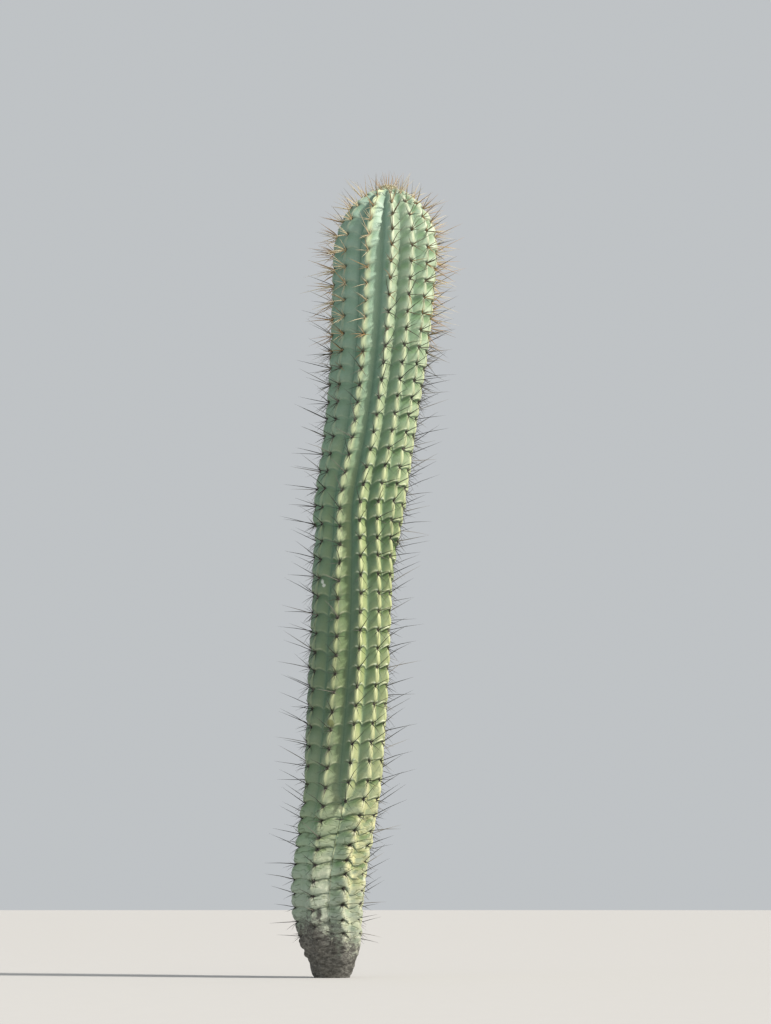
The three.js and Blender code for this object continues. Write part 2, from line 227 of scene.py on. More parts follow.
@dataclass
class Growth:
    """The rule that the solids grow by."""

    stations: tuple[Station, ...] = (
        Station(0, 0, 59, -25.5),
        Station(50, -1, 58, -25.5),
        Station(100, -6, 58, -25.5),
        Station(157, -3.5, 61, -25.5),
        Station(213, 4.5, 62.5, -25.5),
        Station(300, 15.5, 63.5, -24.5),
        Station(477, 25, 65.5, -19),
        Station(600, 30.5, 65, -20),
        Station(670, 35, 68, -21),
        Station(740, 42, 73.5, -25),
        Station(864, 59, 74.5, -20),
        Station(998, 74, 79.5, -19),
        Station(1150, 83.5, 84.5, -19.5),
        Station(1262, 87, 84.5, -19.5),
    )
    ribs: tuple[Rib, ...] = (
        Rib(1.1, 690, 0.05),
        Rib(1.2, 0, -0.1),
        Rib(1.15, 0, -0.3),
        Rib(0.86, 262, 0),
        Rib(0.94, 0, 0.1),
        Rib(0.88, 0, 0.15),
        Rib(0.95, 665, 0.05),
        Rib(1.08, 0, -0.2),
        Rib(1.08, 235, 0.1),
        Rib(1.08, 0, 0.3),
        Rib(1.08, 300, 0),
        Rib(1.08, 640, -0.25),
        Rib(1.08, 0, 0.2),
    )
    guide_rib: int = 2
    dome_height: float = 112
    foot_radius: float = 28
    foot_height: float = 110
    make_room_below: float = 90
    make_room_above: float = 60
    rise_below: float = 15
    rise_above: float = 35
    least_open: float = 0.05
    rib_depth_share: float = 0.17
    flute_at_foot: float = 0.25
    flute_fade_height: float = 90
    old_spacing: float = 23
    stem_spacing: float = 30
    young_spacing: float = 27
    tip_spacing: float = 11
    old_stem_top: float = 240
    new_stem_start: float = 310
    tip_zone_radius: float = 52
    lift_fade: float = 3
    crest_inset: float = 4.7
    least_seat_share: float = 0.4
    hub_over_seat: float = 2.9
    crest_fade: float = 60
    crest_start: float = 46
    outline_step: float = 2
    dome_steps: int = 90

    def __post_init__(self) -> None:
        """Traces the outline and counts the areole spacings along it."""
        self.tip_height = self.stations[-1].height
        self.dome_foot = self.tip_height - self.dome_height
        self.shoulder_radius = self.stations[-1].radius
        stem = np.arange(0, self.dome_foot, self.outline_step)
        turn = np.linspace(0, math.pi / 2, self.dome_steps + 1)
        dome_radii = self.shoulder_radius * np.cos(turn)
        dome_radii[-1] = 0
        self.radii = np.concatenate([self.stem_radius(stem), dome_radii])
        self.heights = np.concatenate([stem, self.dome_foot + self.dome_height * np.sin(turn)])
        runs = np.hypot(np.diff(self.radii), np.diff(self.heights))
        spacings = self.areole_spacing(self.heights[1:], self.radii[1:])
        self.counts = np.concatenate([[0], np.cumsum(runs / spacings)])
        self.top_count = float(self.counts[-1])

    def station_value(self, key: str, height: Array | float) -> Array:
        """A station's value at some heights, by cubic pieces through the stations.

        Args:
            key: The value's name.
            height: The heights.

        Returns:
            The value at each height.
        """
        knots = np.array([station.height for station in self.stations])
        values = np.array([getattr(station, key) for station in self.stations])
        before = np.maximum(np.arange(len(knots)) - 1, 0)
        after = np.minimum(np.arange(len(knots)) + 1, len(knots) - 1)
        slopes = (values[after] - values[before]) / (knots[after] - knots[before])
        height = np.asarray(height, float)
        k = np.clip(np.searchsorted(knots, height, side="left") - 1, 0, len(knots) - 2)
        span = knots[k + 1] - knots[k]
        t = (height - knots[k]) / span
        return (
            (2 * t**3 - 3 * t**2 + 1) * values[k]
            + (t**3 - 2 * t**2 + t) * span * slopes[k]
            + (3 * t**2 - 2 * t**3) * values[k + 1]
            + (t**3 - t**2) * span * slopes[k + 1]
        )

    def stem_radius(self, height: Array) -> Array:
        """The radius over the crests below the dome, drawn in to the narrow foot."""
        foot = np.sin(np.minimum(1, height / self.foot_height) * math.pi / 2)
        return blend(self.foot_radius, self.station_value("radius", height), foot)

    def areole_spacing(self, height: Array, radius: Array) -> Array:
        """The distance from one areole of a rib to the next."""
        grown = smooth(height, self.old_stem_top, self.new_stem_start)
        stem = blend(self.old_spacing, self.stem_spacing, grown)
        young = blend(stem, self.young_spacing, smooth(height, self.old_stem_top, self.dome_foot))
        tip = np.where(height > self.dome_foot, 1 - smooth(radius, 0, self.tip_zone_radius), 0)
        return blend(young, self.tip_spacing, tip)

    def outline_at(self, count: Array) -> Outline:
        """The outline at some counts of areole spacings above the ground."""
        wanted = np.clip(np.asarray(count, float), 0, self.top_count)
        low = np.clip(np.searchsorted(self.counts, wanted, side="right") - 1, 0, len(self.counts) - 2)
        share = (wanted - self.counts[low]) / (self.counts[low + 1] - self.counts[low])
        rise = self.heights[low + 1] - self.heights[low]
        draw_in = self.radii[low] - self.radii[low + 1]
        run = np.hypot(rise, draw_in)
        return Outline(
            blend(self.radii[low], self.radii[low + 1], share),
            blend(self.heights[low], self.heights[low + 1], share),
            rise / run,
            draw_in / run,
        )

    def count_at_height(self, height: float) -> float:
        """The count of areole spacings at the first place of the outline that is as high."""
        return float(self.counts[np.argmax(self.heights >= height)])

    def flutes_at(self, height: Array) -> Flutes:
        """The ribs and valleys at some heights.

        Args:
            height: The heights, of any shape.

        Returns:
            Values with the ribs as their first axis and the heights' shape behind it.
        """
        rooms = []
        rises = []
        for rib in self.ribs:
            room = smooth(height, rib.start - self.make_room_below, rib.start + self.make_room_above)
            rise = smooth(height, rib.start - self.rise_below, rib.start + self.rise_above)
            rooms.append(rib.share * (np.maximum(self.least_open, room) if rib.start else np.ones_like(room)))
            rises.append(np.maximum(self.least_open, rise) if rib.start else np.ones_like(rise))
        rooms = np.array(rooms)
        rises = np.array(rises)
        shares = rooms * TAU / rooms.sum(axis=0)
        right_edges = np.cumsum(shares, axis=0)
        crests = right_edges - shares / 2
        turn = np.radians(self.station_value("turn", height)) - crests[self.guide_rib]
        next_crests = np.concatenate([crests[1:], crests[:1] + TAU])
        next_rises = np.concatenate([rises[1:], rises[:1]])
        valleys = blend(crests, blend(next_crests, right_edges, next_rises), rises)
        return Flutes(crests + turn, valleys + turn, rises, shares)

    def flute_depth(self, radius: Array, height: Array) -> Array:
        """How deep the valleys lie under the outline."""
        full = blend(self.flute_at_foot, 1, smooth(height, 0, self.flute_fade_height))
        return radius * self.rib_depth_share * full

    def place(self, radius: Array, azimuth: Array, height: Array) -> Array:
        """The place at a radius and an azimuth round the leaning centre line."""
        x = self.station_value("x", height) + radius * np.sin(azimuth)
        return np.stack([x, -radius * np.cos(azimuth), height + 0 * x], axis=-1)

    def lifted(self, count: Array, lift: Array) -> Array:
        """The count of a rib's row, with its lift faded out at the ground and at the apex."""
        from_ground = smooth(count, 0, self.lift_fade)
        from_apex = smooth(self.top_count - count, 0, self.lift_fade)
        return count + lift * from_ground * from_apex

    def areoles(self, end_radius: float) -> Areoles:
        """All areoles, from the first of each rib up to where the dome's outline is narrow.

        Args:
            end_radius: The outline's radius past which a rib has no more areoles.

        Returns:
            The areoles, rib by rib.
        """
        ribs = []
        numbers = []
        for i, rib in enumerate(self.ribs):
            first = math.ceil(self.count_at_height(max(self.crest_start, rib.start)) - rib.lift)
            row = np.arange(first, math.ceil(self.top_count))
            outline = self.outline_at(self.lifted(row, rib.lift))
            kept = ~((outline.radius < end_radius) & (outline.height > self.dome_foot))
            numbers.append(row[kept])
            ribs.append(np.full(kept.sum(), i))
        return self.seats(np.concatenate(ribs), np.concatenate(numbers))

    def seats(self, rib: Array, number: Array) -> Areoles:
        """The hubs and frames of some areoles, by the solids' rule.

        Args:
            rib: Each areole's rib.
            number: Each areole's number on its rib.

        Returns:
            The areoles.
        """
        starts = np.array([max(self.crest_start, one.start) for one in self.ribs])[rib]
        lifts = np.array([one.lift for one in self.ribs])[rib]
        outline = self.outline_at(self.lifted(number, lifts))
        flutes = self.flutes_at(outline.height)
        each = np.arange(len(rib))
        azimuth = flutes.crests[rib, each]
        rise = flutes.rises[rib, each]
        half = self.crest_fade / 2
        inset = self.crest_inset * smooth(outline.height, starts - half, starts + 2 * half)
        crest = outline.radius - self.flute_depth(outline.radius, outline.height) * (1 - rise)
        radius = np.maximum(self.least_seat_share * outline.radius, crest - inset * outline.out)
        seat = self.place(radius, azimuth, outline.height - inset * outline.up)
        normal = outline.outward(azimuth)
        side = np.stack([np.cos(azimuth), np.sin(azimuth), 0 * azimuth], axis=-1)
        hub = seat + self.hub_over_seat * normal
        along = np.cross(normal, side)
        return Areoles(rib, number, hub, normal, side, along, outline.radius, outline.height)


def deselect_everything() -> None:
    """Leaves edit mode and clears the selection, so that an operator acts on the new piece alone."""
    if bpy.context.object is not None and bpy.context.object.mode != "OBJECT":
        bpy.ops.object.mode_set(mode="OBJECT")
    bpy.ops.object.select_all(action="DESELECT")


def add_primitive(operator: Callable, name: str, **settings: object) -> bpy.types.Object:
    """Adds a primitive as the start of a piece.

    Args:
        operator: The operator that adds it.
        name: The new object's name.
        **settings: The operator's settings.

    Returns:
        The new object, active and alone in the selection.
    """
    deselect_everything()
    operator(**settings)
    piece = bpy.context.object
    piece.name = name
    piece.data.name = name
    return piece


def add_cone(name: str, sides: int, tip_radius: float) -> bpy.types.Object:
    """Adds an upright cone of height 1 with its foot, of radius 1, at the origin.

    Args:
        name: The new object's name.
        sides: How many sides it has.
        tip_radius: Its radius at the tip.

    Returns:
        The new object.
    """
    settings = {"vertices": sides, "radius1": 1, "radius2": tip_radius, "depth": 1, "location": (0, 0, 0.5)}
    cone = add_primitive(bpy.ops.mesh.primitive_cone_add, name, **settings)
    bpy.ops.object.transform_apply(location=True, rotation=True, scale=True)
    return cone


def edit(piece: bpy.types.Object, *steps: Callable[[], object]) -> None:
    """Takes a piece through some steps in edit mode, with all of its mesh selected at the start.

    Args:
        piece: The piece to edit.
        *steps: What is done, in order.
    """
    deselect_everything()
    piece.select_set(True)
    bpy.context.view_layer.objects.active = piece
    bpy.ops.object.mode_set(mode="EDIT")
    bpy.ops.mesh.select_mode(type="VERT")
    bpy.ops.mesh.select_all(action="SELECT")
    for step in steps:
        step()
    bpy.ops.object.mode_set(mode="OBJECT")


def select_where(piece: bpy.types.Object, test: Callable[[Vector], bool]) -> None:
    """Selects the vertices of a piece in edit mode whose place passes a test."""
    mesh = bmesh.from_edit_mesh(piece.data)
    for vertex in mesh.verts:
        vertex.select = test(vertex.co)
    mesh.select_flush_mode()
    bmesh.update_edit_mesh(piece.data)


def cut_across(height: float) -> None:
    """Cuts edges round the piece in edit mode at a height."""
    bpy.ops.mesh.select_all(action="SELECT")
    bpy.ops.mesh.bisect(plane_co=(0, 0, height), plane_no=(0, 0, 1))


def points_of(piece: bpy.types.Object) -> Array:
    """The vertices of a piece, as rows of three metres."""
    points = np.empty(len(piece.data.vertices) * 3)
    piece.data.vertices.foreach_get("co", points)
    return points.reshape(-1, 3)


def set_points(piece: bpy.types.Object, points: Array) -> None:
    """Gives the vertices of a piece their places, in metres."""
    piece.data.vertices.foreach_set("co", points.ravel())
    piece.data.update()


def shade_smooth(piece: bpy.types.Object) -> None:
    """Gives all faces of a piece smooth shading."""
    piece.data.polygons.foreach_set("use_smooth", np.ones(len(piece.data.polygons), bool))
    piece.data.update()


@dataclass
class Template:
    """A small shape that is modelled once and dealt out many times."""

    points: Array
    faces: list[tuple[int, ...]]

    @classmethod
    def take(cls, piece: bpy.types.Object) -> "Template":
        """Reads a modelled piece and removes its object."""
        template = cls(points_of(piece), [tuple(face.vertices) for face in piece.data.polygons])
        mesh = piece.data
        bpy.data.objects.remove(piece)
        bpy.data.meshes.remove(mesh)
        return template

    def deal(self, name: str, origins: Array, axes: Array, bows: Array | None = None) -> bpy.types.Object:
        """Joins copies of the shape into one piece.

        Args:
            name: The new piece's name.
            origins: Each copy's origin, in millimetres.
            axes: Each copy's three axes as rows, with their lengths as the copy's sizes.
            bows: How far each copy bows aside at half of its height, where copies bow.

        Returns:
            The joined piece.
        """
        placed = origins[:, None, :] + np.einsum("vk,nkd->nvd", self.points, axes)
        if bows is not None:
            height = self.points[:, 2]
            placed += (4 * height * (1 - height))[None, :, None] * bows[:, None, :]
        count = len(self.points)
        loops = np.concatenate([np.array(face) for face in self.faces])
        sizes = np.array([len(face) for face in self.faces])
        copies = len(origins)
        all_loops = (loops[None, :] + count * np.arange(copies)[:, None]).ravel()
        starts = np.concatenate([[0], np.cumsum(np.tile(sizes, copies))[:-1]])
        mesh = bpy.data.meshes.new(name)
        mesh.vertices.add(copies * count)
        mesh.loops.add(len(all_loops))
        mesh.polygons.add(len(starts))
        mesh.vertices.foreach_set("co", (placed * MM).ravel())
        mesh.loops.foreach_set("vertex_index", all_loops.astype(np.int32))
        mesh.polygons.foreach_set("loop_start", starts.astype(np.int32))
        mesh.update(calc_edges=True)
        piece = bpy.data.objects.new(name, mesh)
        bpy.context.scene.collection.objects.link(piece)
        shade_smooth(piece)
        return piece


def right_handed(first: Array, second: Array, third: Array) -> Array:
    """Stacks the three axes of each copy, with the first turned about where they would mirror the copy."""
    axes = np.stack([first, second, third], axis=1)
    axes[np.linalg.det(axes) < 0, 0] *= -1
    return axes


class Paint(Enum):
    """How a colour is laid on: mixed into the colours under it, or multiplied with them."""

    MIX = "MIX"
    TINT = "MULTIPLY"


class Curve(Enum):
    """How a factor changes on the way: softly at both ends, or evenly."""

    SOFT = "SMOOTHSTEP"
    EVEN = "LINEAR"


class Grain(NamedTuple):
    """A noise: its grain in millimetres, its finer layers, their strength and how flat the grains are."""

    size: float
    detail: float
    rough: float = 0.5
    flatness: float = 1


class Socket:
    """A shader value that takes part in Python expressions."""

    def __init__(self, graph: "Graph", link: bpy.types.NodeSocket) -> None:
        """Wraps a node's output.

        Args:
            graph: The graph that the node is in.
            link: The output.
        """
        self.graph = graph
        self.link = link

    def __add__(self, other: "Socket | float") -> "Socket":
        """This value plus another."""
        return self.graph.math("ADD", self, other)

    def __sub__(self, other: "Socket | float") -> "Socket":
        """This value less another."""
        return self.graph.math("SUBTRACT", self, other)

    def __mul__(self, other: "Socket | float") -> "Socket":
        """This value times another."""
        return self.graph.math("MULTIPLY", self, other)

    def __rsub__(self, other: float) -> "Socket":
        """A number less this value."""
        return self.graph.math("SUBTRACT", other, self)

    __radd__ = __add__
    __rmul__ = __mul__

    def step(
        self,
        low: float,
        high: float,
        least: float = 0,
        most: float = 1,
        curve: Curve = Curve.SOFT,
    ) -> "Socket":
        """A step from one value to another.

        Args:
            low: Where the step starts. It may lie above its end.
            high: Where the step is done.
            least: The value before the step.
            most: The value past it.
            curve: How the value changes on the way.

        Returns:
            The value.
        """
        inputs = {"Value": self, "From Min": low, "From Max": high, "To Min": least, "To Max": most}
        return self.graph.node("ShaderNodeMapRange", {"interpolation_type": curve.value}, inputs)

    def band(self, rise: Span, fall: Span) -> "Socket":
        """A soft band that rises over one span and falls over another."""
        return self.step(*rise) * self.step(*fall)

    def ragged(self, noise: "Socket", amount: float) -> "Socket":
        """This value made uneven by an amount of a noise from 0 to 1."""
        return self + (noise - 0.5) * amount


class Graph:
    """The node graph of one material."""

    def __init__(self, name: str) -> None:
        """Starts a material with its shader and its output.

        Args:
            name: The material's name.
        """
        self.material = bpy.data.materials.new(name)
        self.material.use_nodes = True
        self.nodes = self.material.node_tree.nodes
        self.links = self.material.node_tree.links
        self.nodes.clear()
        self.shader = self.nodes.new("ShaderNodeBsdfPrincipled")
        output = self.nodes.new("ShaderNodeOutputMaterial")
        self.links.new(self.shader.outputs["BSDF"], output.inputs["Surface"])

    def node(
        self,
        kind: str,
        settings: dict[str, object] | None = None,
        inputs: dict[str | int, object] | None = None,
        output: str | int = 0,
    ) -> Socket:
        """Adds a node.

        Args:
            kind: The node's type.
            settings: Its settings, set first. A list of stops sets a colour ramp.
            inputs: Values or links of its sockets, by name or number.
            output: The socket that is returned.

        Returns:
            That output.
        """
        node = self.nodes.new(kind)
        for key, value in (settings or {}).items():
            if key == "stops":
                self._set_stops(node.color_ramp, value)
            else:
                setattr(node, key, value)
        for key, value in (inputs or {}).items():
            self._feed(node.inputs[key], value)
        return Socket(self, node.outputs[output])

    def _set_stops(self, ramp: bpy.types.ColorRamp, stops: list[tuple[float, Colour]]) -> None:
        """Gives a colour ramp its stops."""
        while len(ramp.elements) < len(stops):
            ramp.elements.new(1)
        for element, (position, colour) in zip(ramp.elements, stops):
            element.position = position
            element.color = (*colour, 1)

    def _feed(self, socket: bpy.types.NodeSocket, value: object) -> None:
        """Links a socket, or sets its value."""
        if isinstance(value, Socket):
            self.links.new(value.link, socket)
        elif isinstance(value, tuple) and socket.type == "RGBA":
            socket.default_value = (*value, 1)
        else:
            socket.default_value = value

    def math(self, operation: str, *values: Socket | float) -> Socket:
        """A Math node on some values."""
        return self.node("ShaderNodeMath", {"operation": operation}, dict(enumerate(values)))

    def lay(
        self,
        paint: Paint,
        share: Socket | float,
        under: Socket | Colour,
        colour: Socket | Colour,
    ) -> Socket:
        """A colour laid over another.

        Args:
            paint: How it is laid on.
            share: How much of it shows.
            under: The colour under it.
            colour: The colour.

        Returns:
            What they look like together.
        """
        settings = {"data_type": "RGBA", "blend_type": paint.value, "clamp_factor": True}
        return self.node("ShaderNodeMix", settings, {0: share, 6: under, 7: colour}, output=2)

    def mix(self, share: Socket | float, start: Socket | Colour, end: Socket | Colour) -> Socket:
        """A colour that lies a share of the way from start to end."""
        return self.lay(Paint.MIX, share, start, end)

    def ramp(self, value: Socket, stops: list[tuple[float, Colour]]) -> Socket:
        """A colour ramp."""
        return self.node("ShaderNodeValToRGB", {"stops": stops}, {"Fac": value})

    def place(self) -> Socket:
        """The place on the object, in metres."""
        return self.node("ShaderNodeTexCoord", output="Object")

    def parts(self, vector: Socket) -> tuple[Socket, Socket, Socket]:
        """The three parts of a vector."""
        first = self.node("ShaderNodeSeparateXYZ", {}, {0: vector})
        outputs = first.link.node.outputs
        return tuple(Socket(self, outputs[i]) for i in range(3))

    def attribute(self, name: str, output: str = "Fac") -> Socket:
        """A value that the mesh carries."""
        return self.node("ShaderNodeAttribute", {"attribute_name": name}, output=output)

    def stretched(self, vector: Socket, scale: tuple[float, float, float]) -> Socket:
        """A place scaled by axis, so that a pattern's grain is longer one way."""
        return self.node("ShaderNodeMapping", {}, {"Vector": vector, "Scale": scale})

    def noise(self, vector: Socket, grain: Grain) -> Socket:
        """Noise from 0 to 1 at a place."""
        if grain.flatness != 1:
            vector = self.stretched(vector, (1, 1, grain.flatness))
        inputs = {"Scale": 1 / (grain.size * MM), "Detail": grain.detail, "Roughness": grain.rough}
        return self.node("ShaderNodeTexNoise", {}, {"Vector": vector, **inputs})

    def distance(self, vector: Socket, point: tuple[float, float, float]) -> Socket:
        """The distance from a point, in millimetres."""
        inputs = {0: vector, 1: tuple(MM * part for part in point)}
        away = self.node("ShaderNodeVectorMath", {"operation": "DISTANCE"}, inputs, output="Value")
        return away * (1 / MM)

    def bump(self, height: Socket, distance: float, strength: float = 1) -> None:
        """Feeds the shader's normal with a relief.

        Args:
            height: The relief, in units of the distance.
            distance: The relief's depth in millimetres.
            strength: How much of it shows.
        """
        inputs = {"Height": height, "Distance": distance * MM, "Strength": strength}
        self.links.new(self.node("ShaderNodeBump", {}, inputs).link, self.shader.inputs["Normal"])

    def finish(self, **inputs: object) -> bpy.types.Material:
        """Sets the shader's sockets, with spaces written as underscores.

        Args:
            **inputs: Values or links.

        Returns:
            The finished material.
        """
        for name, value in inputs.items():
            self._feed(self.shader.inputs[name.replace("_", " ")], value)
        return self.material


def dress(piece: bpy.types.Object, material: bpy.types.Material) -> None:
    """Gives a piece its one material."""
    piece.data.materials.clear()
    piece.data.materials.append(material)


class Scar(NamedTuple):
    """A healed wound on the front of the skin: its x and height, its width, its shape and its colour."""

    x: float
    height: float
    size: float
    tallness: float
    colour: Colour


class Grade(NamedTuple):
    """A factor that goes from least to most while a measure of the skin goes from low to high."""

    measure: "By"
    low: float
    high: float
    least: float = 0
    most: float = 1
    curve: Curve = Curve.SOFT


class By(Enum):
    """What the layers of the skin's colour are graded by."""

    # SUN is how far the skin faces the sun's direction; the layers graded by it paint light and shade into
    # its colour.
    SUN = "how far it has grown facing the sun, from -1 to 1"
    TURNED = "how far it is turned to the viewer's right, from -1 to 1"
    LEVEL = "its height in metres, a little uneven"
    TALL = "the same as a share of the stem's height"
    AGED = "the same in metres, slanting and ragged, for the greying above the cork"
    CORK = "the same, for the edge of the cork"
    VIEWER = "the half that faces the viewer"
    FRONT = "a strip of that half, left of its middle"
    LEFT_EDGE = "a strip of that half near its left edge"
    YOUNG = "young skin"
    OLD = "old skin"
    ACROSS = "millimetres from the crest of its rib"
    CREASE = "millimetres from the nearest areole's row"
    VALLEY = "millimetres from the valley"
    EDGE = "millimetres from the rim of a pale lens round the crest"
    SCAB = "millimetres from the nearest areole, ragged by the fine grain"
    STAIN = "millimetres from the nearest areole, ragged by the mottling"
    WAVE = "the wave of the folds, over 0 at the areoles' rows and under 0 between them"
    ABOVE = "over 0 above the nearest areole's row and under 0 below it"
    FOLD = "how strongly the flank is folded"
    FISSURE = "how far it is from a wandering line"
    MOTTLE = "noise of a middle size"
    GRAIN = "fine noise"
    PATCHES = "noise in broad patches"
    WRINKLE = "noise in flat wrinkles"

    def soft(self, low: float, high: float) -> Grade:
        """A soft step from 0 at low to 1 at high. It falls where low is above high."""
        return Grade(self, low, high)

    def even(self, least: float, most: float, low: float = 0, high: float = 1) -> Grade:
        """An even change from least at low to most at high, and none beyond them."""
        return Grade(self, low, high, least, most, Curve.EVEN)


class Shades(NamedTuple):
    """A colour that changes with a measure."""

    measure: By
    stops: tuple[tuple[float, Colour], ...]


class Layer(NamedTuple):
    """A layer of the skin's colour. Its share is its strength times all grades of where it lies."""

    name: str
    paint: Paint
    colour: Colour | Shades
    strength: float
    where: tuple[Grade | By, ...]


def mixed(name: str, colour: Colour | Shades, strength: float, *where: Grade | By) -> Layer:
    """A layer that is mixed into the colours under it."""
    return Layer(name, Paint.MIX, colour, strength, where)


def tinted(name: str, colour: Colour | Shades, strength: float, *where: Grade | By) -> Layer:
    """A layer that the colours under it are multiplied with."""
    return Layer(name, Paint.TINT, colour, strength, where)


class Relief(NamedTuple):
    """The finest relief: how much each pattern adds, its depth in millimetres and its strength."""

    grain: float
    mottle: float
    old_wrinkle: float
    cork_wrinkle: float
    fissure: float
    depth: float
    strength: float


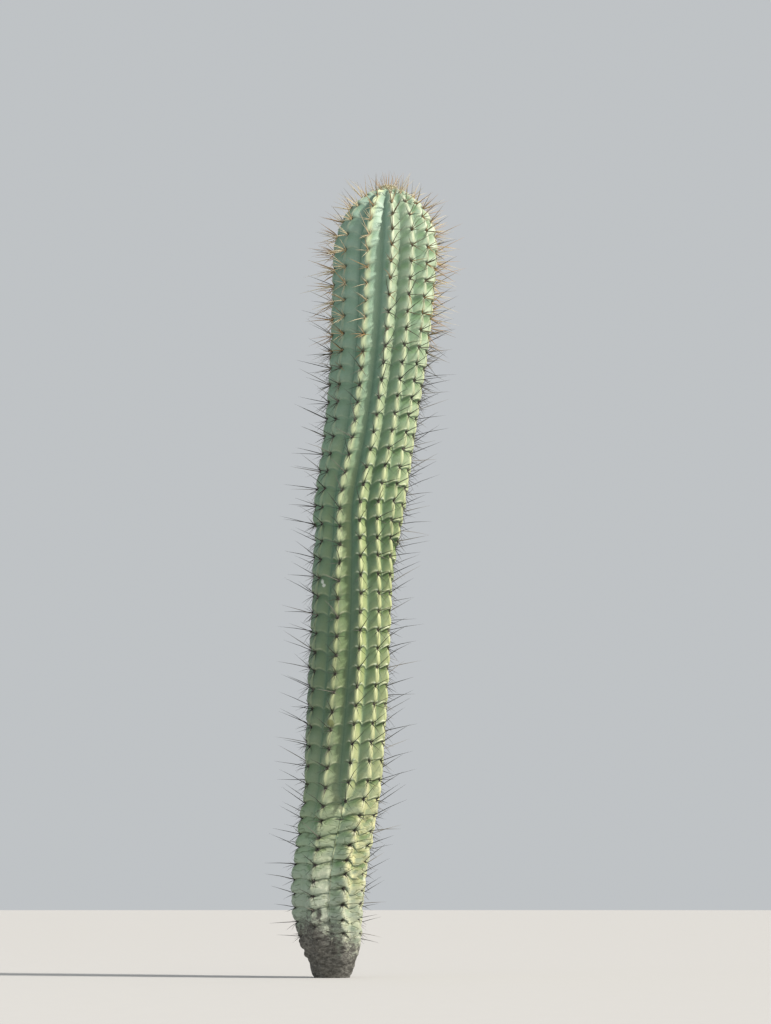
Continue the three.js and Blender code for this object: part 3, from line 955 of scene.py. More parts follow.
@dataclass(frozen=True)
class StemFinish:
    """Waxy green skin that yellows with age and turns to cork at the foot, with light and shade painted into
    its colour. Colours are linear.
    """

    stem_height: float = 1.262
    young_levels: Span = (0.72, 1.1)
    old_levels: Span = (0.42, 0.16)
    viewer_y: Span = (0, -0.01)
    front: tuple[Span, Span] = ((-0.38, -0.26), (0.12, -0.05))
    left_edge: tuple[Span, Span] = ((-0.56, -0.46), (-0.14, -0.28))
    lens_slope: float = 0.45
    lens_most: float = 3.5
    cork_slope: float = 0.38
    broad: Grain = Grain(70, 2)
    mottle: Grain = Grain(11, 4, 0.6)
    fine: Grain = Grain(2.2, 3, 0.6)
    patches: Grain = Grain(16, 3, 0.6, 1.6)
    wrinkles: Grain = Grain(7, 5, 0.7, 1.9)
    fissures: Grain = Grain(24, 1, 0.5, 2.6)
    uneven_level: float = 0.06
    ragged_aged: float = 0.12
    ragged_cork: tuple[float, float] = (0.09, 0.05)
    ragged_scab: float = 6
    ragged_stain: float = 3
    ragged_scar: tuple[float, float] = (1.7, 0.8)
    scar_core: float = 0.4
    scar_strength: float = 0.85
    relief: Relief = Relief(0.35, 0.5, 1.2, 2.2, 2, 0.5, 0.7)
    roughness: float = 0.42
    mottle_roughness: float = 0.16
    old_roughness: float = 0.1
    cork_roughness: float = 0.3
    gloss: float = 0.42
    by_height: Shades = Shades(By.TALL, (
        (0.0, (0.310, 0.360, 0.275)),
        (0.16, (0.300, 0.375, 0.250)),
        (0.36, (0.168, 0.240, 0.125)),
        (0.57, (0.205, 0.300, 0.160)),
        (0.70, (0.280, 0.390, 0.245)),
        (0.86, (0.370, 0.515, 0.355)),
        (1.0, (0.370, 0.505, 0.360)),
    ))
    # Partly the sun-yellowed skin and partly painted sunlight, for the side facing the sun.
    sun_side: Shades = Shades(By.TALL, (
        (0.0, (0.580, 0.585, 0.410)),
        (0.2, (0.500, 0.505, 0.262)),
        (0.38, (0.365, 0.402, 0.162)),
        (0.55, (0.382, 0.436, 0.195)),
        (0.75, (0.450, 0.520, 0.320)),
        (1.0, (0.460, 0.535, 0.385)),
    ))
    shade_side: Shades = Shades(By.TALL, (
        (0.0, (0.310, 0.400, 0.305)),
        (0.12, (0.330, 0.455, 0.320)),
        (0.17, (0.280, 0.400, 0.265)),
        (0.22, (0.185, 0.275, 0.165)),
        (0.34, (0.098, 0.166, 0.102)),
        (0.467, (0.112, 0.194, 0.125)),
        (0.58, (0.148, 0.262, 0.178)),
        (0.70, (0.186, 0.310, 0.224)),
        (0.86, (0.156, 0.276, 0.214)),
        (1.0, (0.172, 0.298, 0.242)),
    ))
    # The crests' pale edges, also laid on as painted light on the swells of the folds.
    crest_edge: Shades = Shades(By.TALL, (
        (0.0, (0.620, 0.620, 0.400)),
        (0.45, (0.620, 0.650, 0.310)),
        (1.0, (0.560, 0.600, 0.420)),
    ))
    grain_shades: Shades = Shades(By.GRAIN, ((0.25, (0.74, 0.74, 0.74)), (0.75, (1.0, 1.0, 1.0))))
    cork: Shades = Shades(By.WRINKLE, (
        (0.3, (0.034, 0.031, 0.027)),
        (0.5, (0.108, 0.104, 0.090)),
        (0.72, (0.250, 0.245, 0.215)),
    ))
    layers: tuple[Layer, ...] = (
        # Partly sun-yellowed skin and partly painted sunlight, where the skin faces the sun.
        mixed("sunny side", sun_side, 0.7, By.SUN.soft(0.1, 0.8)),
        # Painted shade: darker on the outer ribs to the right, which face the sun, to tone down their light.
        tinted("outer ribs on the sunny side", (0.72, 0.75, 0.70), 1,
               By.TURNED.soft(0.5, 0.8), By.LEVEL.soft(0.78, 0.62), By.OLD.even(1, 0)),
        # Painted shadow: darker on the front flanks away from the crest, on the lower stem, where the next
        # rib's shadow falls.
        tinted("painted shadow on the flanks in front", (0.60, 0.70, 0.62), 0.75,
               By.FRONT, By.ACROSS.soft(4.5, 10), By.LEVEL.soft(0.72, 0.60), By.OLD.even(1, 0)),
        # Painted shade: cooler blue-green on the front flanks away from the crest, on the upper stem.
        tinted("cool flanks in front", (0.84, 0.95, 1.0), 1,
               By.FRONT, By.ACROSS.soft(4.5, 9), By.LEVEL.soft(0.70, 0.85)),
        # Painted shade: darker where young skin faces the sun, to tone down its light.
        tinted("young skin in full sun", (0.74, 0.76, 0.74), 1, By.SUN.soft(0.55, 1), By.YOUNG),
        # Painted shade: darker and bluer on the left flank of the upper stem, away from the sun.
        tinted("left flank of the crown", (0.80, 0.88, 0.98), 1,
               By.TURNED.soft(-0.92, -0.8), By.TURNED.soft(-0.5, -0.6), By.LEVEL.soft(0.82, 0.90),
               By.VIEWER),
        mixed("shady side", shade_side, 0.95, By.SUN.soft(0.3, -0.45)),
        # Painted light: lighter on the front flanks that face away from the sun, just under the crown.
        tinted("open shade under the crown", (1.50, 1.34, 1.34), 1,
               By.SUN.soft(0.45, -0.1), By.TURNED.soft(-0.18, -0.08), By.TURNED.soft(0.65, 0.45),
               By.LEVEL.soft(0.93, 1.08)),
        # Painted light: lighter on the middle of the foot's front.
        tinted("open shade at the foot", (1.90, 1.80, 1.85), 1,
               By.TURNED.soft(-0.12, -0.05), By.TURNED.soft(0.24, 0.02), By.LEVEL.soft(0.21, 0.14),
               By.VIEWER),
        # Painted light: pale patches on the front flanks of the foot where they face the sun.
        mixed("pale flanks at the foot", (0.80, 0.80, 0.62), 0.6,
              By.FRONT, By.SUN.soft(0, 0.3), By.LEVEL.soft(0.21, 0.14), By.ACROSS.soft(1, 4),
              By.MOTTLE.soft(0.35, 0.6)),
        mixed("bloom of wax", (0.400, 0.530, 0.430), 1,
              By.MOTTLE.soft(0.45, 0.75), By.YOUNG.even(0.06, 0.31)),
        # Painted shade: darker in the hollows of the folds.
        tinted("hollows of the folds", (0.58, 0.72, 0.50), 1,
               By.WAVE.even(0, 1, 0, -1), By.OLD.even(0.7, 1)),
        # Painted shade: darker near the old stem's creases where it faces the sun.
        tinted("furrows of the old stem", (0.40, 0.46, 0.30), 0.85,
               By.CREASE.soft(7.5, 2), By.MOTTLE.soft(0.64, 0.42), By.OLD, By.SUN.soft(0.1, 0.5)),
        # Painted light: paler on the swells of the folds.
        mixed("painted light on the swells of the folds", crest_edge, 0.2, By.WAVE.even(0, 1)),
        # Painted highlight: a pale line on the lips above the creases, brightest where they face the sun.
        mixed("lips above the creases", (0.66, 0.70, 0.46), 1,
              By.CREASE.soft(3.6, 1.6), By.ABOVE.soft(-0.05, 0.12), By.ACROSS.soft(1.5, 5),
              By.WAVE.even(0, 1, 0, 1 / 1.3), By.MOTTLE.soft(0.3, 0.6),
              By.SUN.even(0.25, 1.25, -0.25, 0.75), By.OLD.even(0.9, 0.65), By.YOUNG.even(1, 0.45)),
        tinted("shade under the creases", (0.46, 0.60, 0.38), 0.75,
               By.CREASE.soft(10, 2.5), By.ABOVE.soft(0.05, -0.15), By.ACROSS.soft(1.5, 5),
               By.FOLD.even(0, 1), By.OLD.even(1, 0.8), By.YOUNG.even(1, 0.45)),
        # Painted shade: darker towards the bottoms of the valleys.
        mixed("valleys", (0.095, 0.190, 0.125), 1, By.VALLEY.soft(7, 0.2), By.OLD.even(0.4, 0.12)),
        # Painted shade: a darker line at the bottoms of the valleys.
        tinted("bottoms of the valleys", (0.50, 0.62, 0.55), 0.45,
               By.VALLEY.soft(1.5, 0.2), By.OLD.even(1, 0.2)),
        # Partly the crests' own pale edges and partly painted light: paler where they face the sun.
        mixed("pale lenses on the crests", crest_edge, 1,
              By.EDGE.soft(1.5, -1.2), By.SUN.even(0.18, 0.68, -0.35, 0.65), By.OLD.even(1, 0.5)),
        # Painted light: pale beads on the crests near the left edge, between the areoles.
        mixed("beads near the left edge", (0.85, 0.93, 0.53), 1,
              By.ACROSS.soft(7.5, 3.5), By.CREASE.soft(1.5, 7), By.SUN.soft(-0.38, -0.08), By.LEFT_EDGE,
              By.LEVEL.soft(0.60, 0.66), By.YOUNG.even(0.58, 0.36)),
        # Painted highlight: pale spots on the knobs just above and beside the areoles.
        mixed("horny knobs beside the areoles", (0.68, 0.78, 0.58), 0.6,
              By.ACROSS.soft(1.8, 3.4), By.ACROSS.soft(8.5, 6), By.CREASE.soft(3.4, 1.2),
              By.ABOVE.soft(-0.1, 0.15), By.TURNED.soft(-0.15, 0), By.TURNED.soft(0.95, 0.8),
              By.OLD.even(1, 0)),
        # Painted shade: darker on the crests near the left edge where they face the sun, to tone down their
        # light.
        tinted("dull crests near the left edge", (0.78, 0.80, 0.82), 1,
               By.LEFT_EDGE, By.ACROSS.soft(9, 5), By.LEVEL.soft(0.62, 0.57), By.LEVEL.soft(0.30, 0.36),
               By.SUN.soft(0, 0.3)),
        # Painted shade: dark lines in the creases of the old stem.
        mixed("lines of the old creases", (0.055, 0.085, 0.035), 0.7,
              By.CREASE.soft(1.8, 0.3), By.OLD, By.MOTTLE.soft(0.28, 0.52)),
        # Partly sunburnt skin and partly painted sunlight: yellow patches on the old stem's right flanks
        # where they face the sun.
        mixed("sunburn and painted sunlight", (0.670, 0.630, 0.320), 0.8,
              By.PATCHES.soft(0.42, 0.58), By.SUN.even(0, 1, -0.1, 0.9), By.OLD, By.TURNED.soft(0.22, 0.5)),
        mixed("greyed foot", (0.330, 0.385, 0.315), 0.6, By.AGED.soft(0.2, 0.09)),
        tinted("fissures", (0.40, 0.44, 0.34), 0.75,
               By.FISSURE.soft(0.055, 0), By.LEVEL.soft(0.33, 0.2), By.PATCHES.soft(0.35, 0.6)),
        # Partly pale scabs round the old areoles and partly painted light: they show where the skin faces the
        # sun.
        mixed("scabs round the areoles", (0.600, 0.600, 0.480), 0.7,
              By.SCAB.soft(12, 7), By.MOTTLE.soft(0.5, 0.62), By.OLD, By.SUN.soft(0.1, 0.6)),
        mixed("stains at the areoles", (0.055, 0.050, 0.030), 1,
              By.STAIN.soft(5.0, 1.8), By.OLD.even(0.6, 0.9)),
        tinted("grain", grain_shades, 0.5),
        mixed("cork", cork, 1, By.CORK.soft(0.094, 0.046)),
    )
    scars: tuple[Scar, ...] = (
        Scar(-16.4, 617.5, 2.9, 1.4, (0.62, 0.67, 0.60)),
        Scar(-13.8, 611.5, 2.9, 1.1, (0.66, 0.70, 0.62)),
        Scar(-2, 393, 7, 1, (0.13, 0.15, 0.05)),
        Scar(15.5, 259, 6, 1.3, (0.66, 0.69, 0.43)),
        Scar(88, 422, 7, 1, (0.74, 0.70, 0.60)),
        Scar(12, 244, 12, 0.22, (0.02, 0.02, 0.015)),
        Scar(-19, 100, 5.5, 2.4, (0.03, 0.03, 0.026)),
    )

    def material(self) -> bpy.types.Material:
        """Builds the skin's material."""
        g = Graph("stem_skin")
        place = g.place()
        measures = self._measures(g, place)
        colour = self._shade(g, measures, self.by_height)
        masks = {}
        for layer in self.layers:
            mask = self._mask(measures, layer)
            masks[layer.name] = mask
            colour = g.lay(layer.paint, mask * layer.strength, colour, self._shade(g, measures, layer.colour))
        for scar in self.scars:
            colour = g.mix(self._scar_share(g, place, measures, scar), colour, scar.colour)

        mottle = measures[By.MOTTLE]
        old = measures[By.OLD]
        cork = masks["cork"]
        wrinkled = measures[By.WRINKLE] * (old * self.relief.old_wrinkle + cork * self.relief.cork_wrinkle)
        relief = measures[By.GRAIN] * self.relief.grain + mottle * self.relief.mottle + wrinkled
        relief = relief - masks["fissures"] * self.relief.fissure
        g.bump(relief, self.relief.depth, self.relief.strength)
        rough = self.roughness + mottle * self.mottle_roughness
        rough = rough + old * self.old_roughness + cork * self.cork_roughness
        return g.finish(Base_Color=colour, Roughness=rough, Specular_IOR_Level=self.gloss)

    def _measures(self, g: Graph, place: Socket) -> dict[By, Socket]:
        """Works out what the layers are graded by.

        Args:
            g: The material's graph.
            place: The place on the skin.

        Returns:
            Each measure's value there.
        """
        x, y, z = g.parts(place)
        across, crease, valley = g.parts(g.attribute("rib_place", "Vector"))
        wave, above, fold = g.parts(g.attribute("fold_place", "Vector"))
        turned = g.attribute("turned")
        mottle = g.noise(place, self.mottle)
        grain = g.noise(place, self.fine)
        wrinkle = g.noise(place, self.wrinkles)
        level = z.ragged(g.noise(place, self.broad), self.uneven_level)
        slanted = level + x * self.cork_slope
        cork = slanted.ragged(wrinkle, self.ragged_cork[0]).ragged(mottle, self.ragged_cork[1])
        faces_viewer = y.step(*self.viewer_y)
        lens = g.math("MINIMUM", crease * self.lens_slope, self.lens_most)
        from_areole = g.math("SQRT", across * across + crease * crease)
        return {
            By.SUN: g.attribute("sun_side"),
            By.TURNED: turned,
            By.LEVEL: level,
            By.TALL: level * (1 / self.stem_height),
            By.AGED: slanted.ragged(mottle, self.ragged_aged),
            By.CORK: cork,
            By.VIEWER: faces_viewer,
            By.FRONT: turned.band(*self.front) * faces_viewer,
            By.LEFT_EDGE: turned.band(*self.left_edge) * faces_viewer,
            By.YOUNG: level.step(*self.young_levels),
            By.OLD: level.step(*self.old_levels),
            By.ACROSS: across,
            By.CREASE: crease,
            By.VALLEY: valley,
            By.EDGE: across - lens,
            By.SCAB: from_areole.ragged(grain, self.ragged_scab),
            By.STAIN: from_areole.ragged(mottle, self.ragged_stain),
            By.WAVE: wave,
            By.ABOVE: above,
            By.FOLD: fold,
            By.FISSURE: g.math("ABSOLUTE", g.noise(place, self.fissures) - 0.5),
            By.MOTTLE: mottle,
            By.GRAIN: grain,
            By.PATCHES: g.noise(place, self.patches),
            By.WRINKLE: wrinkle,
        }

    def _shade(self, g: Graph, measures: dict[By, Socket], colour: Colour | Shades) -> Socket | Colour:
        """A plain colour as it is, and shades as a ramp over their measure."""
        if isinstance(colour, Shades):
            return g.ramp(measures[colour.measure], list(colour.stops))
        return colour

    def _mask(self, measures: dict[By, Socket], layer: Layer) -> Socket | float:
        """Where a layer lies, from 0 to 1, as the product of its grades."""
        factors = [
            measures[part]
            if isinstance(part, By)
            else measures[part.measure].step(part.low, part.high, part.least, part.most, part.curve)
            for part in layer.where
        ]
        return math.prod(factors[1:], start=factors[0]) if factors else 1.0

    def _scar_share(self, g: Graph, place: Socket, measures: dict[By, Socket], scar: Scar) -> Socket:
        """How much of a scar shows.

        Args:
            g: The material's graph.
            place: The place on the skin.
            measures: Each measure's value there.
            scar: The scar.

        Returns:
            Its share there.
        """
        in_front = g.stretched(place, (1, 0, 1 / scar.tallness))
        away = g.distance(in_front, (scar.x, 0, scar.height / scar.tallness))
        away = away.ragged(measures[By.MOTTLE], scar.size * self.ragged_scar[0])
        away = away.ragged(measures[By.GRAIN], scar.size * self.ragged_scar[1])
        shows = away.step(scar.size, scar.size * self.scar_core) * self.scar_strength
        return shows * measures[By.VIEWER]


def of_rib(values: Array, rib: Array) -> Array:
    """Picks each place's value from values that have the ribs as their first axis."""
    return np.take_along_axis(values, rib[None], axis=0)[0]


def with_centre(values: Array) -> Array:
    """Values of the skin's rows, with the first row again in front for the middle of the flat cut."""
    return np.concatenate([values[:1], values]).ravel()


class RibPlaces(NamedTuple):
    """Where places of the skin lie on their ribs.

    That is the rib, the place across it from -1 to 1, the row in spacings and the part of it past the last
    areole, the valley's number, the outline and the azimuth there, how far the rib has risen, its width from
    crest to valley, the length of a spacing, the distances from the crest and above the nearest areole's
    row, how far off a full rib's crest it is, and how near its row is to an areole's.
    """

    rib: Array
    side: Array
    row: Array
    part: Array
    valley: Array
    outline: Outline
    azimuth: Array
    rise: Array
    width: Array
    spacing: Array
    across: Array
    along: Array
    off_crest: Array
    notched: Array


class SkinPoints(NamedTuple):
    """Places on the skin, with where they lie on their rib and in its folds, and how far they are turned."""

    place: Array
    across: Array
    crease: Array
    valley: Array
    wave: Array
    above: Array
    fold: Array
    turned: Array


@dataclass
class StemSkin:
    """The skin of the stem with its relief: notched crests, folded flanks, creases and a wrinkled foot.

    Pairs of heights, rows, radii or shares are the ends of a soft step.
    """

    growth: Growth
    name: str = "stem_skin"
    half_columns: tuple[float, ...] = (0.06, 0.15, 0.29, 0.47, 0.68, 0.88)
    row_places: tuple[float, ...] = (0, 0.03, 0.075, 0.15, 0.27, 0.42, 0.57, 0.70, 0.80, 0.885, 0.95)
    least_last_row: float = 0.05
    young_heights: Span = (820, 1150)
    old_heights: Span = (190, 350)
    wrinkled_heights: Span = (150, 380)
    wandering_line_heights: Span = (190, 300)
    second_crease_heights: Span = (230, 330)
    cork_heights: Span = (70, 150)
    foot_heights: Span = (20, 90)
    tip_radii: Span = (3, 26)
    rough_radii: Span = (4, 42)
    crest_rounding: float = 0.32
    areole_rounding: float = 0.06
    valley_rounding: float = 0.08
    broad_valley: int = 2
    broad_rounding: float = 0.75
    broad_heights: Span = (560, 740)
    steep_side: float = 0.68
    scallops: tuple[float, ...] = (0.8, 1, 1.2, 0.6, 0.4, 0.3, 0.4, 0.5, 0.6, 0.5, 0.6, 0.5, 0.7)
    scallop_width: float = 2.4
    scallop_shares: Span = (0, 0.7)
    scallop_least_radius: float = 30
    crease_bow: float = 0.75
    old_crease_bow: float = 0.1
    bow_rows: Span = (8, 12)
    arches: tuple[float, ...] = (0, 0, 0.02, -0.07, -0.07, -0.04, 0.05, -0.08, 0.03, -0.06, 0.08, -0.05, 0.03)
    old_arches: tuple[float, ...] = (0.1, 0.12, 0.08, 0, -0.4, 0.15, -0.2, 0.2, 0.1, -0.2, 0.15, 0.1, 0.2)
    arch_rows: Span = (8, 13)
    arch_shares: Span = (0, 0.8)
    folds: tuple[float, ...] = (0.7, 0.6, 0.25, 1, 1.2, 1.2, 1, 0.9, 1, 0.8, 0.9, 0.7, 0.7)
    fold_shares: Span = (0.25, 0.65)
    least_fold: float = 0.5
    sunny_fold: float = 0.5
    flank_fold: float = 0.85
    flank_skew: float = 0.85
    valley_fold: float = 0.25
    old_flute_depth: float = 1.15
    deep_from_heights: Span = (30, 90)
    deep_to_heights: Span = (240, 420)
    low_rib_across: float = 12
    notch_depth: float = 4.6
    young_notch_depth: float = 4.0
    notch_share: float = 0.36
    notch_least_width: float = 2.5
    notch_skew: float = 0.85
    notch_sharpness: float = 2.3
    crest_over_outline: float = 0.7
    fold_depth: float = 2.1
    old_fold_loss: float = 0.85
    fold_skew: float = 0.5
    young_fold_skew: float = 0.66
    fold_turns_at: float = 0.5625
    pillow_depth: float = 1.1
    young_pillow: float = 0.1
    pillow_skew: float = 0.9
    pillow_sharpness: float = 4.5
    pillow_valley_loss: float = 0.45
    second_crease_depth: float = 1.3
    second_crease_width: float = 1.5
    second_crease_places: Span = (0.3, 0.7)
    second_crease_slopes: Span = (-0.25, 0.25)
    second_crease_shows: Span = (0.35, 0.5)
    second_crease_fade: float = 0.7
    lip_depth: float = 1.9
    lip_above: float = 0.4
    lip_width: float = 2.3
    lip_across: Span = (2.5, 6)
    lip_most_wave: float = 1.1
    old_lip_loss: float = 0.7
    young_lip_loss: float = 0.65
    groove_depth: float = 0.6
    young_groove_depth: float = 0.4
    old_groove_depth: float = 1.5
    groove_width: float = 1.1
    groove_below: float = 1.2
    groove_of_fold: float = 1.5
    least_groove: float = 0.1
    groove_valley_loss: float = 0.35
    horn_depth: float = 1.0
    horn_aside: float = 4.8
    horn_above: float = 1.8
    horn_width: float = 1.9
    horn_height: float = 2.0
    old_horn_loss: float = 0.5
    pit_depth: float = 0.7
    pit_width: float = 2.4
    crease_wander: float = 0.16
    young_crease_wander: float = 0.05
    wander_size: float = 0.9
    wander_ring: float = 3
    wander_rows: Span = (8, 16)
    uneven: tuple[Bumps, ...] = (Bumps(0.7, 48, 1), Bumps(0.3, 17, 2))
    wrinkles: tuple[Bumps, ...] = (Bumps(0.9, (16, 16, 5.5), 3), Bumps(0.6, 9, 13))
    cork: tuple[Bumps, ...] = (Bumps(1.6, (13, 13, 7), 4), Bumps(2.2, 26, 5))
    wandering_line: Bumps = Bumps(1.3, (24, 24, 8), 12)
    wandering_line_width: float = 0.14
    # The sun's direction, which grades the light and shade painted into the skin's colour.
    sun_azimuth: float = 78
    sun_elevation: float = 35
    merge_distance: float = 0.001

    def columns(self) -> tuple[Array, Array]:
        """The columns of the mesh.

        Returns:
            Each column's rib, and its place from -1 in the left valley over 0 on the crest to 1 in the right.
        """
        half = np.array(self.half_columns)
        one = np.concatenate([-half[::-1], [0], half, [1]])
        ribs = len(self.growth.ribs)
        rib = np.repeat(np.arange(ribs), len(one))
        across = np.tile(one, ribs)
        return np.append(rib, 0), np.append(across, one[0])

    def rows(self) -> Array:
        """The rows of the mesh, as counts of areole spacings."""
        top = self.growth.top_count
        whole = np.arange(math.floor(top) + 1)
        rows = (whole[:, None] + np.array(self.row_places)[None, :]).ravel()
        return np.append(rows[rows < top - self.least_last_row], top)

    def points(self, rib: Array, side: Array, row: Array) -> SkinPoints:
        """Places on the skin.

        Args:
            rib: Each place's rib.
            side: Its place across the rib, from -1 to 1.
            row: Its count of areole spacings, before the rib's lift.

        Returns:
            The places.
        """
        at = self._on_ribs(rib, side, row)
        outline = at.outline
        fold = self._fold(at)
        skew = blend(self.fold_skew, self.young_fold_skew, smooth(outline.height, *self.young_heights))
        wave = np.cos(TAU * (1 - at.part) ** skew) * fold
        base = self.growth.place(outline.radius, at.azimuth, outline.height)
        relief = self._relief(at, fold, wave) - self._second_creases(at) + self._roughness(base, outline)
        place = base + (relief - self._depth(at))[..., None] * outline.outward(at.azimuth)
        place[..., 2] = np.maximum(place[..., 2], 0)
        above = np.sin(TAU * at.part)
        valley = (1 - np.abs(side)) * at.width * at.rise
        return SkinPoints(place, at.across, np.abs(at.along), valley, wave, above, fold, np.sin(at.azimuth))

    def _on_ribs(self, rib: Array, side: Array, row: Array) -> RibPlaces:
        """Finds places of the skin on their ribs.

        Args:
            rib: Each place's rib.
            side: Its place across the rib, from -1 to 1.
            row: Its count of areole spacings, before the rib's lift.

        Returns:
            Where they lie.
        """
        growth = self.growth
        ribs = len(growth.ribs)
        share = np.abs(side)
        other = (rib + np.where(side < 0, -1, 1)) % ribs
        valley = np.where(side < 0, other, rib)
        outline = growth.outline_at(growth.lifted(row, self._lift(rib, other, valley, side, row)))
        flutes = growth.flutes_at(outline.height)
        crest = of_rib(flutes.crests, rib)
        rise = of_rib(flutes.rises, rib)
        right = of_rib(flutes.valleys, rib)
        left = of_rib(flutes.valleys, (rib - 1) % ribs) - np.where(rib == 0, TAU, 0)
        span = np.where(side < 0, crest - left, right - crest)
        part = row - np.floor(row)
        bulge = np.array(self.scallops)[rib] * self.scallop_width * np.sin(math.pi * part)
        bulge = bulge * (1 - smooth(share, *self.scallop_shares))
        azimuth = crest + side * span - bulge / np.maximum(outline.radius, self.scallop_least_radius)
        width = outline.radius * span
        spacing = growth.areole_spacing(outline.height, outline.radius)
        return RibPlaces(
            rib=rib,
            side=side,
            row=row,
            part=part,
            valley=valley,
            outline=outline,
            azimuth=azimuth,
            rise=rise,
            width=width,
            spacing=spacing,
            across=share * width + (1 - rise) * self.low_rib_across,
            along=np.where(part < 0.5, part, part - 1) * spacing,
            off_crest=1 - rise * (1 - share),
            notched=np.abs(2 * part**self.notch_skew - 1) ** self.notch_sharpness,
        )

    def _lift(self, rib: Array, other: Array, valley: Array, side: Array, row: Array) -> Array:
        """How far places lie over even rows, by the ribs' lift and the creases' arch, bow and wander.

        Args:
            rib: Each place's rib.
            other: The rib on its side.
            valley: The valley's number.
            side: Its place across the rib.
            row: Its count of areole spacings.

        Returns:
            The lifts, in spacings.
        """
        share = np.abs(side)
        lifts = np.array([one.lift for one in self.growth.ribs])
        arches = np.array(self.arches)[valley]
        arch = blend(np.array(self.old_arches)[valley], arches, smooth(row, *self.arch_rows))
        bow = blend(self.old_crease_bow, self.crease_bow, smooth(row, *self.bow_rows))
        lift = blend(lifts[rib], (lifts[rib] + lifts[other]) / 2, share)
        lift = lift + arch * smooth(share, *self.arch_shares) + bow * share * (1 - share)
        turn = (rib + (side + 1) / 2) / len(lifts) * TAU
        radius = self.wander_ring
        ring = np.stack([radius * np.cos(turn), radius * np.sin(turn), row + 0 * turn], axis=-1)
        old = 1 - smooth(row, *self.wander_rows)
        wander = soft_noise(ring, self.wander_size, Use.WANDER)
        return lift + wander * blend(self.young_crease_wander, self.crease_wander, old)

    def _fold(self, at: RibPlaces) -> Array:
        """How strongly the flank is folded: not on the crest, most on the flank and less in the valley."""
        share = np.abs(at.side)
        flank = self.flank_fold * np.sin(math.pi * at.off_crest**self.flank_skew)
        flank = flank + self.valley_fold * at.off_crest
        fold = flank * blend(1, np.array(self.folds)[at.valley], smooth(share, *self.fold_shares))
        fold = fold * (self.least_fold + seeded(at.rib, np.floor(at.row + self.fold_turns_at), Use.FOLD))
        return fold * (1 - (at.side > 0) * (1 - self.sunny_fold) * np.sin(math.pi * share))

    def _depth(self, at: RibPlaces) -> Array:
        """How deep places lie under the outline by their rib's profile."""
        outline = at.outline
        broad = (at.valley == self.broad_valley) * (1 - smooth(outline.height, *self.broad_heights))
        share = np.abs(at.side) ** blend(1, self.steep_side, broad * (at.side > 0))
        profile = self._profile(share, at.notched, blend(self.valley_rounding, self.broad_rounding, broad))
        depth = self.growth.flute_depth(outline.radius, outline.height) * (1 - at.rise * profile)
        deeper = smooth(outline.height, *self.deep_from_heights)
        deeper = deeper * (1 - smooth(outline.height, *self.deep_to_heights))
        return depth * blend(1, self.old_flute_depth, deeper)

    def _profile(self, share: Array, notched: Array, valley_round: Array) -> Array:
        """A rib's height across its width.

        Args:
            share: The place from the crest, 0, to the valley, 1.
            notched: How near the row is to an areole's, where the crest is sharper.
            valley_round: How round the valley is.

        Returns:
            The height, from 1 on the crest to 0 in the valley.
        """
        crest_round = blend(self.crest_rounding, self.areole_rounding, notched)
        fall = (np.hypot(share, crest_round) - crest_round) / (np.hypot(1, crest_round) - crest_round)
        rise = (np.hypot(1 - share, valley_round) - valley_round) / (np.hypot(1, valley_round) - valley_round)
        return blend(1 - fall, rise, share)

    def _relief(self, at: RibPlaces, fold: Array, wave: Array) -> Array:
        """The relief of the areoles' rows.

        Args:
            at: Where the places lie.
            fold: How strongly the flank is folded.
            wave: The fold's wave.

        Returns:
            Millimetres over the plain fluted column.
        """
        height = at.outline.height
        young = smooth(height, *self.young_heights)
        old = 1 - smooth(height, *self.old_heights)
        notch = blend(self.notch_depth, self.young_notch_depth, young)
        crest = bell(at.across, np.maximum(self.notch_least_width, self.notch_share * at.width))
        relief = self.crest_over_outline * crest - notch * at.notched * crest
        relief += self.fold_depth * (1 - self.old_fold_loss * old) * wave
        lens = 1 - np.abs(2 * at.part**self.pillow_skew - 1) ** self.pillow_sharpness
        pillow = self.pillow_depth * blend(self.young_pillow, 1, old)
        relief -= pillow * (1 - lens) * (1 - self.pillow_valley_loss * at.off_crest)
        lip = bell(at.along - self.lip_above, self.lip_width) * smooth(at.across, *self.lip_across)
        lip = lip * (1 - self.old_lip_loss * old) * (1 - self.young_lip_loss * young)
        relief += self.lip_depth * lip * np.clip(wave, 0, self.lip_most_wave)
        groove = blend(self.groove_depth, self.young_groove_depth, young)
        groove = groove * np.clip(fold * self.groove_of_fold, self.least_groove, 1)
        groove = blend(groove, self.old_groove_depth, old) * (1 - self.groove_valley_loss * at.off_crest)
        relief -= groove * bell(at.along + self.groove_below, self.groove_width)
        horn = bell(at.across - self.horn_aside, self.horn_width) * (1 - self.old_horn_loss * old)
        relief += self.horn_depth * horn * bell(at.along - self.horn_above, self.horn_height)
        relief -= self.pit_depth * bell(np.hypot(at.across, at.along), self.pit_width)
        return relief * smooth(at.outline.radius, *self.tip_radii) * smooth(height, *self.foot_heights)

    def _second_creases(self, at: RibPlaces) -> Array:
        """How deep the short creases between the areoles' rows are, on some flanks of the old stem."""
        number = np.floor(at.row) + np.where(at.side < 0, 0.5, 0)
        middle = blend(*self.second_crease_places, seeded(at.rib, number, Use.SECOND_CREASE_PLACE))
        slope = blend(*self.second_crease_slopes, seeded(at.rib, number, Use.SECOND_CREASE_SLOPE))
        shows = smooth(seeded(at.rib, number, Use.SECOND_CREASE), *self.second_crease_shows)
        shows = shows * (1 - smooth(at.outline.height, *self.second_crease_heights))
        across = np.sin(math.pi * np.abs(at.side)) ** self.second_crease_fade
        away = (at.part - middle - at.side * slope) * at.spacing
        return self.second_crease_depth * bell(away, self.second_crease_width) * shows * across

